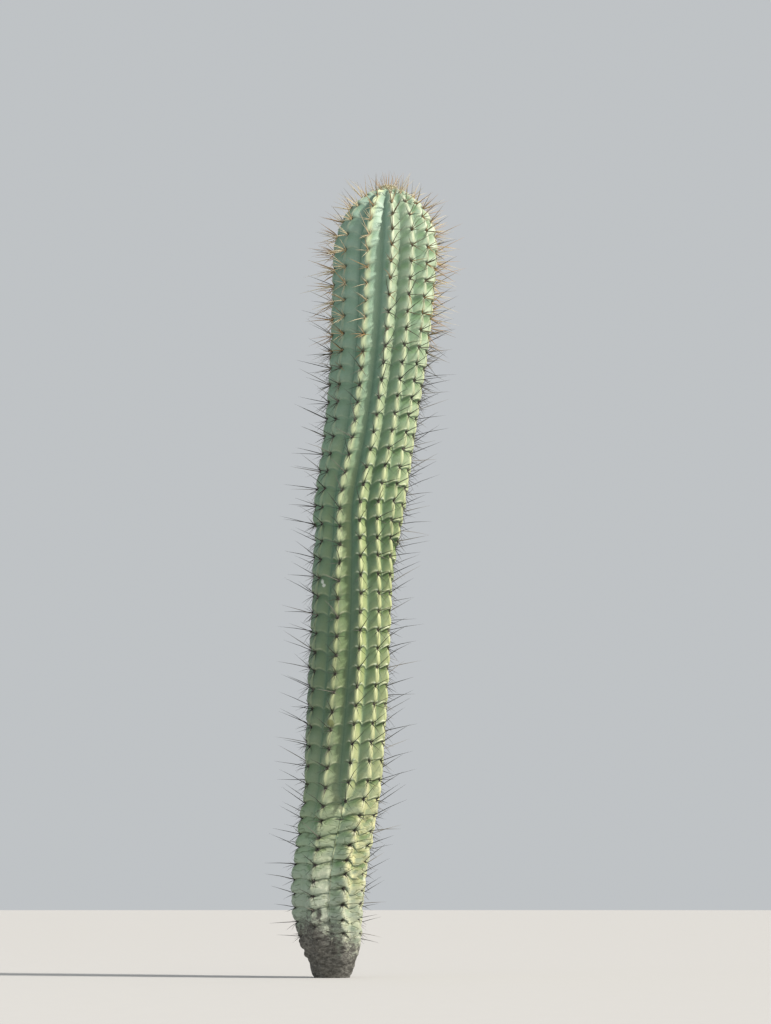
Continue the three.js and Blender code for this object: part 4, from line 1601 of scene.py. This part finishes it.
    def _roughness(self, base: Array, outline: Outline) -> Array:
        """Uneven growth all over, wrinkles on the old stem and cork on the foot, in millimetres."""
        height = outline.height
        uneven, wrinkles, cork = (
            sum(bumps.at(base) for bumps in group) for group in (self.uneven, self.wrinkles, self.cork)
        )
        relief = uneven + wrinkles * (1 - smooth(height, *self.wrinkled_heights))
        relief = relief + cork * (1 - smooth(height, *self.cork_heights))
        line = self.wandering_line
        lines = line.depth * bell(soft_noise(base, line.size, line.use), self.wandering_line_width)
        relief = relief - lines * (1 - smooth(height, *self.wandering_line_heights))
        return relief * smooth(outline.radius, *self.rough_radii)

    def build(self) -> bpy.types.Object:
        """Models the skin from a grid whose rows and columns follow the ribs and areoles.

        Returns:
            The closed skin, with what its finish reads.
        """
        rib, side = self.columns()
        rows = self.rows()
        settings = {"x_subdivisions": len(rib) - 1, "y_subdivisions": len(rows)}
        skin = add_primitive(bpy.ops.mesh.primitive_grid_add, self.name, **settings)
        shape = (len(rows), len(rib))
        row = np.broadcast_to(rows[:, None], shape)
        points = self.points(np.broadcast_to(rib, shape), np.broadcast_to(side, shape), row)
        centre = np.broadcast_to(points.place[0].mean(axis=0), (1, len(rib), 3))
        place = np.concatenate([centre, points.place]) * MM
        place[:2, :, 2] = 0
        if len(skin.data.vertices) != place.shape[0] * place.shape[1]:
            raise ValueError(f"the grid has {len(skin.data.vertices)} vertices, and the skin {place.shape}")
        set_points(skin, place)
        self._store(skin, "fold_place", points.wave, points.above, points.fold)
        self._store(skin, "rib_place", points.across, points.crease, points.valley)
        self._store(skin, "turned", points.turned)
        edit(skin, lambda: bpy.ops.mesh.remove_doubles(threshold=self.merge_distance * MM))
        shade_smooth(skin)
        self._mark_sun_side(skin)
        dress(skin, StemFinish().material())
        return skin

    def _store(self, skin: bpy.types.Object, name: str, *parts: Array) -> None:
        """Stores one value or a vector of three on the skin's vertices.

        Args:
            skin: The skin.
            name: The attribute's name.
            *parts: The vector's parts, at the skin's rows and columns.
        """
        kind, key = ("FLOAT", "value") if len(parts) == 1 else ("FLOAT_VECTOR", "vector")
        values = np.stack([with_centre(part) for part in parts], axis=-1)
        attribute = skin.data.attributes.new(name, kind, "POINT")
        attribute.data.foreach_set(key, values.astype(np.float32).ravel())

    def _mark_sun_side(self, skin: bpy.types.Object) -> None:
        """Stores how far each place of the skin faces the sun, from -1 to 1, which grades the light and shade
        painted into its colour.
        """
        normals = np.empty(len(skin.data.vertices) * 3)
        skin.data.vertices.foreach_get("normal", normals)
        sun = np.array(direction_to(self.sun_azimuth, self.sun_elevation))
        attribute = skin.data.attributes.new("sun_side", "FLOAT", "POINT")
        attribute.data.foreach_set("value", (normals.reshape(-1, 3) @ sun).astype(np.float32))


class Tone(Enum):
    """Plain colours of spines, from old to young, in linear light."""

    BLACK = (0.022, 0.021, 0.017)
    BROWN = (0.062, 0.056, 0.036)
    HORN = (0.175, 0.142, 0.085)
    GOLD = (0.390, 0.245, 0.110)
    STRAW = (0.600, 0.510, 0.330)
    WEATHERED = (0.170, 0.155, 0.130)


@dataclass(frozen=True)
class HornFinish:
    """Hard horn of a spine in one plain colour, with a faint gloss and grain."""

    tone: Tone
    grain: Grain = Grain(1.5, 3)
    grain_depth: float = 0.08
    grain_strength: float = 0.6
    roughness: float = 0.34
    grain_roughness: float = 0.25
    gloss: float = 0.5

    def material(self) -> bpy.types.Material:
        """Builds the material."""
        g = Graph(f"spine_{self.tone.name.lower()}")
        grain = g.noise(g.place(), self.grain)
        g.bump(grain, self.grain_depth, self.grain_strength)
        rough = self.roughness + grain * self.grain_roughness
        return g.finish(Base_Color=self.tone.value, Roughness=rough, Specular_IOR_Level=self.gloss)


@dataclass(frozen=True)
class FeltFinish:
    """Short matt felt of an areole or the crown in one plain colour."""

    name: str
    colour: Colour
    grain: Grain = Grain(0.7, 3)
    grain_depth: float = 0.3
    roughness: float = 0.95
    sheen: float = 0.35
    sheen_roughness: float = 0.5

    def material(self) -> bpy.types.Material:
        """Builds the material."""
        g = Graph(self.name)
        g.bump(g.noise(g.place(), self.grain), self.grain_depth)
        return g.finish(
            Base_Color=self.colour,
            Roughness=self.roughness,
            Sheen_Weight=self.sheen,
            Sheen_Roughness=self.sheen_roughness,
        )


class SpineKind(NamedTuple):
    """A spine that each areole has one of: ranges of length, rise and swing, its thickness and first use."""

    length: Span
    rise: Span
    swing: Span
    thickness: float
    use: int


class ToneRule(NamedTuple):
    """How a kind of spine pales with height: where it starts and ends, over how many tones and from which."""

    start: float
    end: float
    tones: float
    first: float


class Spines(NamedTuple):
    """Spines, one a row: root, tip, thickness, height on the plant, tone's draw and their rib's tone."""

    root: Array
    tip: Array
    thickness: Array
    height: Array
    draw: Array
    rib_tone: Array

    def where(self, kept: Array) -> "Spines":
        """Some of the spines."""
        return Spines(*(values[kept] for values in self))

    @classmethod
    def joined(cls, groups: list["Spines"]) -> "Spines":
        """All spines of some groups, in order."""
        return cls(*(np.concatenate(values) for values in zip(*groups)))


@dataclass(frozen=True)
class SpineModel:
    """The shape of one spine of length 1: a tapering cone with a swollen root and a sharp tip."""

    sides: int = 5
    tip_radius: float = 0.06
    swell_top: float = 0.04
    neck: float = 0.12
    swell: float = 1.35
    belly: float = 1.2

    def template(self) -> Template:
        """Models the spine."""
        spine = add_cone("spine", self.sides, self.tip_radius)
        centre = {"center_override": (0, 0, 0)}
        edit(
            spine,
            lambda: cut_across(self.swell_top),
            lambda: cut_across(self.neck),
            lambda: cut_across(0.5),
            lambda: select_where(spine, lambda place: place.z < self.swell_top + 0.01),
            lambda: bpy.ops.transform.resize(value=(self.swell, self.swell, 1), **centre),
            lambda: select_where(spine, lambda place: abs(place.z - 0.5) < 0.1),
            lambda: bpy.ops.transform.resize(value=(self.belly, self.belly, 1), **centre),
        )
        return Template.take(spine)


@dataclass
class SpineRows:
    """Areoles with their felt and their stars of spines, on every rib.

    Pairs are ranges to draw from, or the ends of a soft step for heights and radii.
    """

    growth: Growth
    skin: StemSkin
    long_spine: SpineKind = SpineKind((42, 60), (2, 38), (6, 16), 0.75, 1)
    short_spine: SpineKind = SpineKind((18, 28), (-42, -18), (10, 28), 0.6, 5)
    young_length: float = 0.6
    old_length: float = 0.62
    full_swing_radius: float = 60
    single_thickness: Span = (0.85, 1.15)
    tone_use: int = 10
    single_tones: ToneRule = ToneRule(900, 1190, 2.5, -0.3)
    star_tones: ToneRule = ToneRule(880, 1100, 3.6, 0.1)
    star_count: tuple[int, int] = (6, 9)
    star_lean: Span = (46, 80)
    star_length: Span = (24, 14)
    young_star_lean: Span = (12, 74)
    young_star_length: Span = (42, 13)
    young_star_gathering: float = 0.5
    crown_star_length: float = 0.85
    young_star_heights: Span = (840, 1060)
    star_turns: Span = (0.25, 0.75)
    star_length_draw: Span = (0.8, 1.2)
    star_shorter_above: float = 0.2
    star_thickness: Span = (0.46, 0.76)
    star_thickness_draw: Span = (0.8, 1.2)
    rib_stars: tuple[float, ...] = (1, 0.8, 0.65, 0.4, 0.4, 0.55, 1, 1, 0.9, 0.9, 0.9, 0.9, 1)
    # The front ribs' spines get darker tones and the left ribs' paler ones: painted shade and painted light
    # for how they catch the light.
    rib_tones: tuple[float, ...] = (0.2, 1.1, 1.1, -0.7, -0.8, -0.6, 0.1, 0, 0, 0, 0, 0, 0.1)
    star_rib_tones: tuple[float, ...] = (0, 1.2, 1.1, -1.3, -1.5, -1.0, -0.2, -0.2, 0, 0, 0, 0, -0.2)
    dome_tone: float = 0.5
    dome_tone_radii: Span = (38, 72)
    tip_thickness: float = 0.65
    tip_stars: float = 0.15
    tip_stars_radii: Span = (24, 70)
    star_use: int = 20
    draws_of_star: int = 5
    bow: float = 0.09
    bow_aside: float = 0.6
    tone_spread: float = 1.7
    ladder: tuple[Tone, ...] = (Tone.BLACK, Tone.BROWN, Tone.HORN, Tone.GOLD, Tone.STRAW)
    weathering_tones: int = 2
    weathered_over: float = 0.84
    pad_size: tuple[float, float, float] = (2.5, 3.1, 1.5)
    pad_size_draw: Span = (0.85, 1.15)
    pad_radii: Span = (0, 45)
    pad_over_skin: float = 0.8
    pad_crumple: Bumps = Bumps(0.16, 0.6, 7)
    pad_age_spread: float = 160
    pad_ages: tuple[float, float] = (330, 1130)
    newest_radius: float = 56
    pad_newest: Colour = (0.460, 0.450, 0.350)
    pad_young: Colour = (0.110, 0.092, 0.060)
    pad_grown: Colour = (0.060, 0.052, 0.038)
    pad_old: Colour = (0.020, 0.018, 0.016)
    end_radius: float = 20
    pieces: list[bpy.types.Object] = field(default_factory=list)

    def build(self) -> list[bpy.types.Object]:
        """Models the pads and spines, each kind and tone joined into a piece.

        Returns:
            The pieces.
        """
        areoles = self.growth.areoles(self.end_radius)
        roots = self._roots(areoles)
        self._deal_pads(areoles, roots)
        spine = SpineModel().template()
        single = [self._single(areoles, roots, kind) for kind in (self.long_spine, self.short_spine)]
        self._deal_spines("central_spines", spine, Spines.joined(single), self.single_tones)
        self._deal_spines("star_spines", spine, self._stars(areoles, roots), self.star_tones)
        return self.pieces

    def _roots(self, areoles: Areoles) -> Array:
        """Where the pads sit on the skin's notches."""
        none = np.zeros(len(areoles.rib))
        return self.skin.points(areoles.rib, none, areoles.number.astype(float)).place

    def _age_lengths(self, areoles: Areoles) -> Array:
        """How long spines are at each areole's height, as a share of the longest."""
        growth = self.growth
        young = blend(1, self.young_length, smooth(areoles.height, growth.dome_foot, growth.tip_height))
        return young * blend(self.old_length, 1, smooth(areoles.height, 0, growth.new_stem_start))

    def _single(self, areoles: Areoles, roots: Array, kind: SpineKind) -> Spines:
        """One spine of a kind on each areole, with its tip where the solids have it.

        Args:
            areoles: The areoles.
            roots: Where their pads sit.
            kind: The kind of spine.

        Returns:
            The spines.
        """
        length = blend(*kind.length, areoles.draw(kind.use)) * self._age_lengths(areoles)
        rise = blend(*kind.rise, areoles.draw(kind.use + 1))
        turned = np.where(areoles.number % 2 == 1, 1, -1)
        narrow = np.minimum(1, areoles.radius / self.full_swing_radius)
        swing = turned * narrow * blend(*kind.swing, areoles.draw(kind.use + 2))
        direction = unit(
            areoles.normal
            + areoles.along * np.tan(np.radians(rise))[:, None]
            + areoles.side * np.tan(np.radians(swing))[:, None]
        )
        tips = areoles.hub + direction * length[:, None]
        thickness = kind.thickness * blend(*self.single_thickness, areoles.draw(kind.use + 3))
        thickness *= blend(self.tip_thickness, 1, smooth(areoles.radius, *self.tip_stars_radii))
        tone = self._rib_tone(areoles, self.rib_tones)
        return Spines(roots, tips, thickness, areoles.height, areoles.draw(kind.use + self.tone_use), tone)

    def _rib_tone(self, areoles: Areoles, tones: tuple[float, ...]) -> Array:
        """How many tones a rib's spines are paler than others, as painted light and shade, on young tissue
        and alike round the apex.
        """
        on_dome = areoles.height > self.growth.dome_foot
        newest = on_dome * (1 - smooth(areoles.radius, *self.dome_tone_radii))
        young = smooth(areoles.height, *self.young_star_heights)
        return np.array(tones)[areoles.rib] * young * (1 - newest) + self.dome_tone * newest

    def _stars(self, areoles: Areoles, roots: Array) -> Spines:
        """The stars of thin spines round the single ones.

        Args:
            areoles: The areoles.
            roots: Where their pads sit.

        Returns:
            The spines.
        """
        least, most = self.star_count
        counts = least + np.floor(areoles.draw(self.star_use) * (most - least + 1))
        counts *= np.array(self.rib_stars)[areoles.rib]
        counts = np.ceil(counts * blend(self.tip_stars, 1, smooth(areoles.radius, *self.tip_stars_radii)))
        tone = self._rib_tone(areoles, self.star_rib_tones)
        ages = np.where(areoles.height > self.growth.dome_foot, self.crown_star_length, 0)
        ages = np.maximum(ages, self._age_lengths(areoles))
        young = smooth(areoles.height, *self.young_star_heights)
        start = roots + self.pad_over_skin * areoles.normal
        rays = []
        for ray in range(most):
            first = self.star_use + self.draws_of_star * ray + 1
            draws = [areoles.draw(first + number) for number in range(self.draws_of_star)]
            turn = TAU * (ray + blend(*self.star_turns, draws[0])) / counts
            share = draws[1] ** (1 + self.young_star_gathering * young)
            lean = np.radians(self._by_age(self.star_lean, self.young_star_lean, young, share))
            length = self._by_age(self.star_length, self.young_star_length, young, share) * ages
            length *= blend(*self.star_length_draw, draws[2]) * (1 - self.star_shorter_above * np.cos(turn))
            direction = (
                areoles.normal * np.cos(lean)[:, None]
                + areoles.along * (np.sin(lean) * np.cos(turn))[:, None]
                + areoles.side * (np.sin(lean) * np.sin(turn))[:, None]
            )
            tip = start + direction * length[:, None]
            thickness = blend(*self.star_thickness, young) * blend(*self.star_thickness_draw, draws[3])
            rays.append(Spines(start, tip, thickness, areoles.height, draws[4], tone).where(counts > ray))
        return Spines.joined(rays)

    def _by_age(self, old: Span, new: Span, young: Array, share: Array) -> Array:
        """A share of the way through a range that changes from old to young tissue."""
        return blend(blend(old[0], new[0], young), blend(old[1], new[1], young), share)

    def _tones(self, spines: Spines, rule: ToneRule) -> Array:
        """Each spine's step on the ladder of tones, or the step past its end for a weathered one."""
        step = rule.tones * smooth(spines.height, rule.start, rule.end)
        step = step + (spines.draw - 0.5) * self.tone_spread + rule.first + spines.rib_tone
        level = np.clip(np.round(step), 0, len(self.ladder) - 1)
        chance = seeded(spines.draw * 53, spines.height, Use.WEATHERING)
        level[(level < self.weathering_tones) & (chance > self.weathered_over)] = len(self.ladder)
        return level

    def _deal_spines(self, name: str, template: Template, spines: Spines, rule: ToneRule) -> None:
        """Joins spines by tone.

        Args:
            name: The pieces' first name.
            template: The spine of length 1.
            spines: The spines.
            rule: How this kind pales with height.
        """
        run = spines.tip - spines.root
        first = np.cross(run, (0.0, 0.0, 1.0))
        first /= np.maximum(np.linalg.norm(first, axis=1), 1e-6)[:, None]
        second = unit(np.cross(run, first))
        thickness = spines.thickness[:, None]
        axes = right_handed(first * thickness, second * thickness, run)
        bow = seeded(spines.draw * 97, spines.height, Use.BOW) - 0.5
        bow = bow * self.bow * np.linalg.norm(run, axis=1)
        bows = first * bow[:, None] - second * (np.abs(bow) * self.bow_aside)[:, None]
        level = self._tones(spines, rule)
        for number, tone in enumerate([*self.ladder, Tone.WEATHERED]):
            kept = level == number
            if not kept.any():
                continue
            piece = template.deal(f"{name}_{tone.name.lower()}", spines.root[kept], axes[kept], bows[kept])
            dress(piece, HornFinish(tone).material())
            self.pieces.append(piece)

    def _deal_pads(self, areoles: Areoles, roots: Array) -> None:
        """Joins the areoles' felt pads by age."""
        settings = {"segments": 8, "ring_count": 5, "radius": 1}
        pad = add_primitive(bpy.ops.mesh.primitive_uv_sphere_add, "areole_pad", **settings)
        points = points_of(pad)
        set_points(pad, points * (1 + self.pad_crumple.at(points))[:, None])
        template = Template.take(pad)
        size = np.array(self.pad_size) * blend(*self.pad_size_draw, areoles.draw(Use.PAD_SIZE))[:, None]
        size *= smooth(areoles.radius, *self.pad_radii)[:, None]
        frames = np.stack([areoles.side, areoles.along, areoles.normal], axis=1)
        axes = frames * size[:, :, None]
        centres = roots + self.pad_over_skin * areoles.normal
        age = areoles.height + self.pad_age_spread * (areoles.draw(Use.PAD_AGE) - 0.5)
        grown, young = self.pad_ages
        newest = areoles.radius < self.newest_radius
        kinds = {
            "old": (age < grown, self.pad_old),
            "grown": ((age >= grown) & (age < young), self.pad_grown),
            "young": ((age >= young) & ~newest, self.pad_young),
            "newest": ((age >= young) & newest, self.pad_newest),
        }
        for name, (kept, colour) in kinds.items():
            piece = template.deal(f"areole_pads_{name}", centres[kept], axes[kept])
            dress(piece, FeltFinish(f"felt_{name}", colour).material())
            self.pieces.append(piece)


@dataclass
class CrownTuft:
    """The crown: a low cushion of young wool on the apex, with a tuft of young spines that opens outwards."""

    growth: Growth
    cushion_radius: float = 15.5
    cushion_inset: float = 0.98
    cushion_height: float = 6
    cushion_cut: float = -0.55
    clumps: tuple[Bumps, ...] = (Bumps(0.13, 0.24, 8), Bumps(0.05, 0.09, 9))
    seat_below_tip: float = 1.8
    spine_count: int = 16
    extra_spines: int = 2
    extra_shift: int = 100
    reach: tuple[float, ...] = (0.4, 0.63, 0.81, 0.95)
    length: Span = (20, 33)
    extra_length: Span = (9, 24)
    spread: float = 42
    root_radius: float = 9
    root_height: float = 1.5
    thickness: float = 0.52
    bow: float = 0.02
    seed: int = 20
    hair_count: int = 900
    hair_length: Span = (2.2, 5.2)
    hair_width: float = 0.22
    hair_rise: float = 0.6
    hair_stray: float = 0.9
    hair_bow: float = 0.25
    hair_sink: float = 0.6
    hair_side: tuple[float, float, float] = (0.3, 0.2, 1.0)
    wool: Colour = (0.52, 0.50, 0.33)
    hair: Colour = (0.66, 0.62, 0.45)

    def __post_init__(self) -> None:
        """Works out where the cushion sits."""
        self.seat = self.growth.tip_height - self.seat_below_tip
        self.x = float(self.growth.station_value("x", self.seat))

    def build(self) -> list[bpy.types.Object]:
        """Models the cushion, its hair and its spines.

        Returns:
            The pieces.
        """
        cushion = self._cushion()
        hair = self._hair()
        template = SpineModel().template()
        main = self._spines(template, Tone.GOLD, self.spine_count, self.length, 0)
        extra = self._spines(template, Tone.STRAW, self.extra_spines, self.extra_length, self.extra_shift)
        return [cushion, hair, main, extra]

    def _cushion(self) -> bpy.types.Object:
        """Models the cushion from a sphere cut flat below, with the clumps of its wool."""
        settings = {"subdivisions": 5, "radius": 1}
        cushion = add_primitive(bpy.ops.mesh.primitive_ico_sphere_add, "crown_cushion", **settings)
        plane = {"plane_co": (0, 0, self.cushion_cut), "plane_no": (0, 0, 1)}
        edit(cushion, lambda: bpy.ops.mesh.bisect(**plane, use_fill=True, clear_inner=True))
        points = points_of(cushion)
        points *= (1 + sum(bumps.at(points) for bumps in self.clumps))[:, None]
        radius = self.cushion_radius * self.cushion_inset
        points *= (radius, radius, self.cushion_height)
        points += (self.x, 0, self.seat)
        set_points(cushion, points * MM)
        shade_smooth(cushion)
        dress(cushion, FeltFinish("crown_wool", self.wool).material())
        return cushion

    def _dome(self, radius: Array, azimuth: Array) -> tuple[Array, Array]:
        """Places on the cushion and their outward directions.

        Args:
            radius: The distance from the middle, as a share of the cushion's.
            azimuth: The azimuth.

        Returns:
            Places and directions.
        """
        rise = np.sqrt(np.maximum(0, 1 - radius**2))
        x = radius * np.sin(azimuth)
        y = -radius * np.cos(azimuth)
        size = (self.cushion_radius, self.cushion_radius, self.cushion_height)
        places = np.stack([x, y, rise], axis=-1) * size + (self.x, 0, self.seat)
        return places, unit(np.stack([x, y, self.hair_rise + 0 * x], axis=-1))

    def _hair(self) -> bpy.types.Object:
        """Models the wool's loose hair as short curved tapering strands."""
        strand = add_cone("wool_strand", 3, 0)
        edit(strand, lambda: cut_across(0.5))
        template = Template.take(strand)
        number = np.arange(self.hair_count)
        radius = np.sqrt(seeded(1, number, Use.HAIR_RADIUS)) * self.cushion_inset
        places, direction = self._dome(radius, TAU * seeded(2, number, Use.HAIR_AZIMUTH))
        uses = (Use.HAIR_STRAY_X, Use.HAIR_STRAY_Y, Use.HAIR_STRAY_Z)
        stray = np.stack([seeded(3, number, use) - 0.5 for use in uses], axis=-1)
        direction = unit(direction + self.hair_stray * stray)
        length = blend(*self.hair_length, seeded(4, number, Use.HAIR_LENGTH))[:, None]
        first = unit(np.cross(direction, self.hair_side))
        second = np.cross(direction, first)
        axes = right_handed(second * self.hair_width, first * -self.hair_width, direction * length)
        roots = places - self.hair_sink * direction
        piece = template.deal("crown_hair", roots, axes, first * (self.hair_bow * length))
        dress(piece, FeltFinish("crown_hair", self.hair).material())
        return piece

    def _spines(
        self,
        template: Template,
        tone: Tone,
        count: int,
        length: Span,
        shift: int,
    ) -> bpy.types.Object:
        """Models spines of the tuft by the solids' rule.

        Args:
            template: The spine of length 1.
            tone: Their colour.
            count: How many spines there are.
            length: Their shortest and longest length.
            shift: A number that sets these spines apart from the solids' own.

        Returns:
            The piece.
        """
        number = np.arange(count)
        azimuth = number / count * TAU + seeded(self.seed + shift, number, Use.CROWN_AZIMUTH)
        reach = np.array(self.reach)[number % len(self.reach)]
        spread = np.radians(self.spread * reach)
        flat = np.sin(spread)
        direction = np.stack([flat * np.sin(azimuth), -flat * np.cos(azimuth), np.cos(spread)], axis=-1)
        heights = np.full(count, self.seat + self.root_height)
        roots = self.growth.place(self.root_radius * reach, azimuth, heights)
        run = direction * blend(*length, seeded(self.seed + shift, number, Use.CROWN_LENGTH))[:, None]
        first = np.stack([np.cos(azimuth), np.sin(azimuth), 0 * azimuth], axis=-1)
        second = unit(np.cross(run, first))
        axes = right_handed(first * self.thickness, second * self.thickness, run)
        name = f"crown_spines_{tone.name.lower()}"
        piece = template.deal(name, roots, axes, self.bow * np.cross(first, run))
        dress(piece, HornFinish(tone).material())
        return piece


@dataclass
class Studio:
    """A pale floor, soft light from the upper right, and the camera just above the floor."""

    floor_radius: float = 30
    floor_sides: int = 96
    floor_colour: Colour = (0.50, 0.49, 0.475)
    floor_shade: float = 0.96
    floor_grain: Grain = Grain(40, 3)
    camera_place: tuple[float, float, float] = (83.3, -4500, 120)
    camera_aim: tuple[float, float, float] = (83.3, 0, 733.6)
    field_of_view: float = 20.4
    air: Colour = (0.93, 0.97, 1.0)
    air_strength: float = 0.56
    key_azimuth: float = 70
    key_elevation: float = 40
    key_strength: float = 5.0
    key_colour: Colour = (1.0, 0.95, 0.88)
    key_softness: float = 6
    fill_azimuth: float = -60
    fill_elevation: float = 25
    fill_distance: float = 3.5
    fill_centre: tuple[float, float, float] = (0, 0, 0.6)
    fill_size: float = 2.5
    fill_power: float = 8
    fill_colour: Colour = (0.80, 0.90, 1.0)

    def build(self) -> None:
        """Sets up the floor, the lights, the air and the camera."""
        self._floor()
        self._light()
        self._air()
        self._camera()
        bpy.context.scene.view_settings.view_transform = "Standard"

    def _floor(self) -> None:
        """Lays the floor."""
        settings = {"vertices": self.floor_sides, "radius": self.floor_radius, "fill_type": "NGON"}
        floor = add_primitive(bpy.ops.mesh.primitive_circle_add, "floor", **settings)
        g = Graph("floor")
        shade = tuple(self.floor_shade * part for part in self.floor_colour)
        colour = g.mix(g.noise(g.place(), self.floor_grain), self.floor_colour, shade)
        dress(floor, g.finish(Base_Color=colour, Roughness=0.9, Specular_IOR_Level=0.2))

    def _light(self) -> None:
        """Hangs a soft warm key light and a wide cool fill light."""
        key = add_primitive(bpy.ops.object.light_add, "key_light", type="SUN")
        key.data.energy = self.key_strength
        key.data.color = self.key_colour
        key.data.angle = math.radians(self.key_softness)
        towards = Vector(direction_to(self.key_azimuth, self.key_elevation))
        key.rotation_euler = towards.to_track_quat("Z", "Y").to_euler()
        fill = add_primitive(bpy.ops.object.light_add, "fill_light", type="AREA")
        fill.data.energy = self.fill_power
        fill.data.color = self.fill_colour
        fill.data.size = self.fill_size
        towards = Vector(direction_to(self.fill_azimuth, self.fill_elevation))
        fill.location = towards * self.fill_distance + Vector(self.fill_centre)
        fill.rotation_euler = towards.to_track_quat("Z", "Y").to_euler()

    def _air(self) -> None:
        """Lights the scene evenly from all sides."""
        world = bpy.data.worlds.new("air")
        world.use_nodes = True
        background = world.node_tree.nodes["Background"]
        background.inputs["Color"].default_value = (*self.air, 1)
        background.inputs["Strength"].default_value = self.air_strength
        bpy.context.scene.world = world

    def _camera(self) -> None:
        """Places the camera so that it looks up at the crown."""
        place = Vector(self.camera_place) * MM
        aim = Vector(self.camera_aim) * MM
        deselect_everything()
        bpy.ops.object.camera_add(location=place)
        camera = bpy.context.object
        camera.rotation_euler = (place - aim).to_track_quat("Z", "Y").to_euler()
        camera.data.lens = camera.data.sensor_width / 2 / math.tan(math.radians(self.field_of_view / 2))
        bpy.context.scene.camera = camera


def settle(piece: bpy.types.Object, replaced: list[str]) -> None:
    """Joins a piece to the plant's body and logs it.

    Args:
        piece: The finished piece.
        replaced: The solids that it stands for.
    """
    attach(piece, "root")
    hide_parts(*replaced)
    LOG.info("%s: %d faces", piece.name, len(piece.data.polygons))


def main() -> None:
    """Builds the stem, its rows of spines, the crown and the studio."""
    logging.basicConfig(level=logging.INFO, format="%(message)s")
    growth = Growth()
    Studio().build()
    skin = StemSkin(growth)
    settle(skin.build(), ["trunk"])
    crests = sorted(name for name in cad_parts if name.startswith("rib_crest"))
    for piece in SpineRows(growth, skin).build():
        settle(piece, crests)
    for piece in CrownTuft(growth).build():
        settle(piece, ["crown_tuft"])
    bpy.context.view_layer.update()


if __name__ == "__main__":
    main()
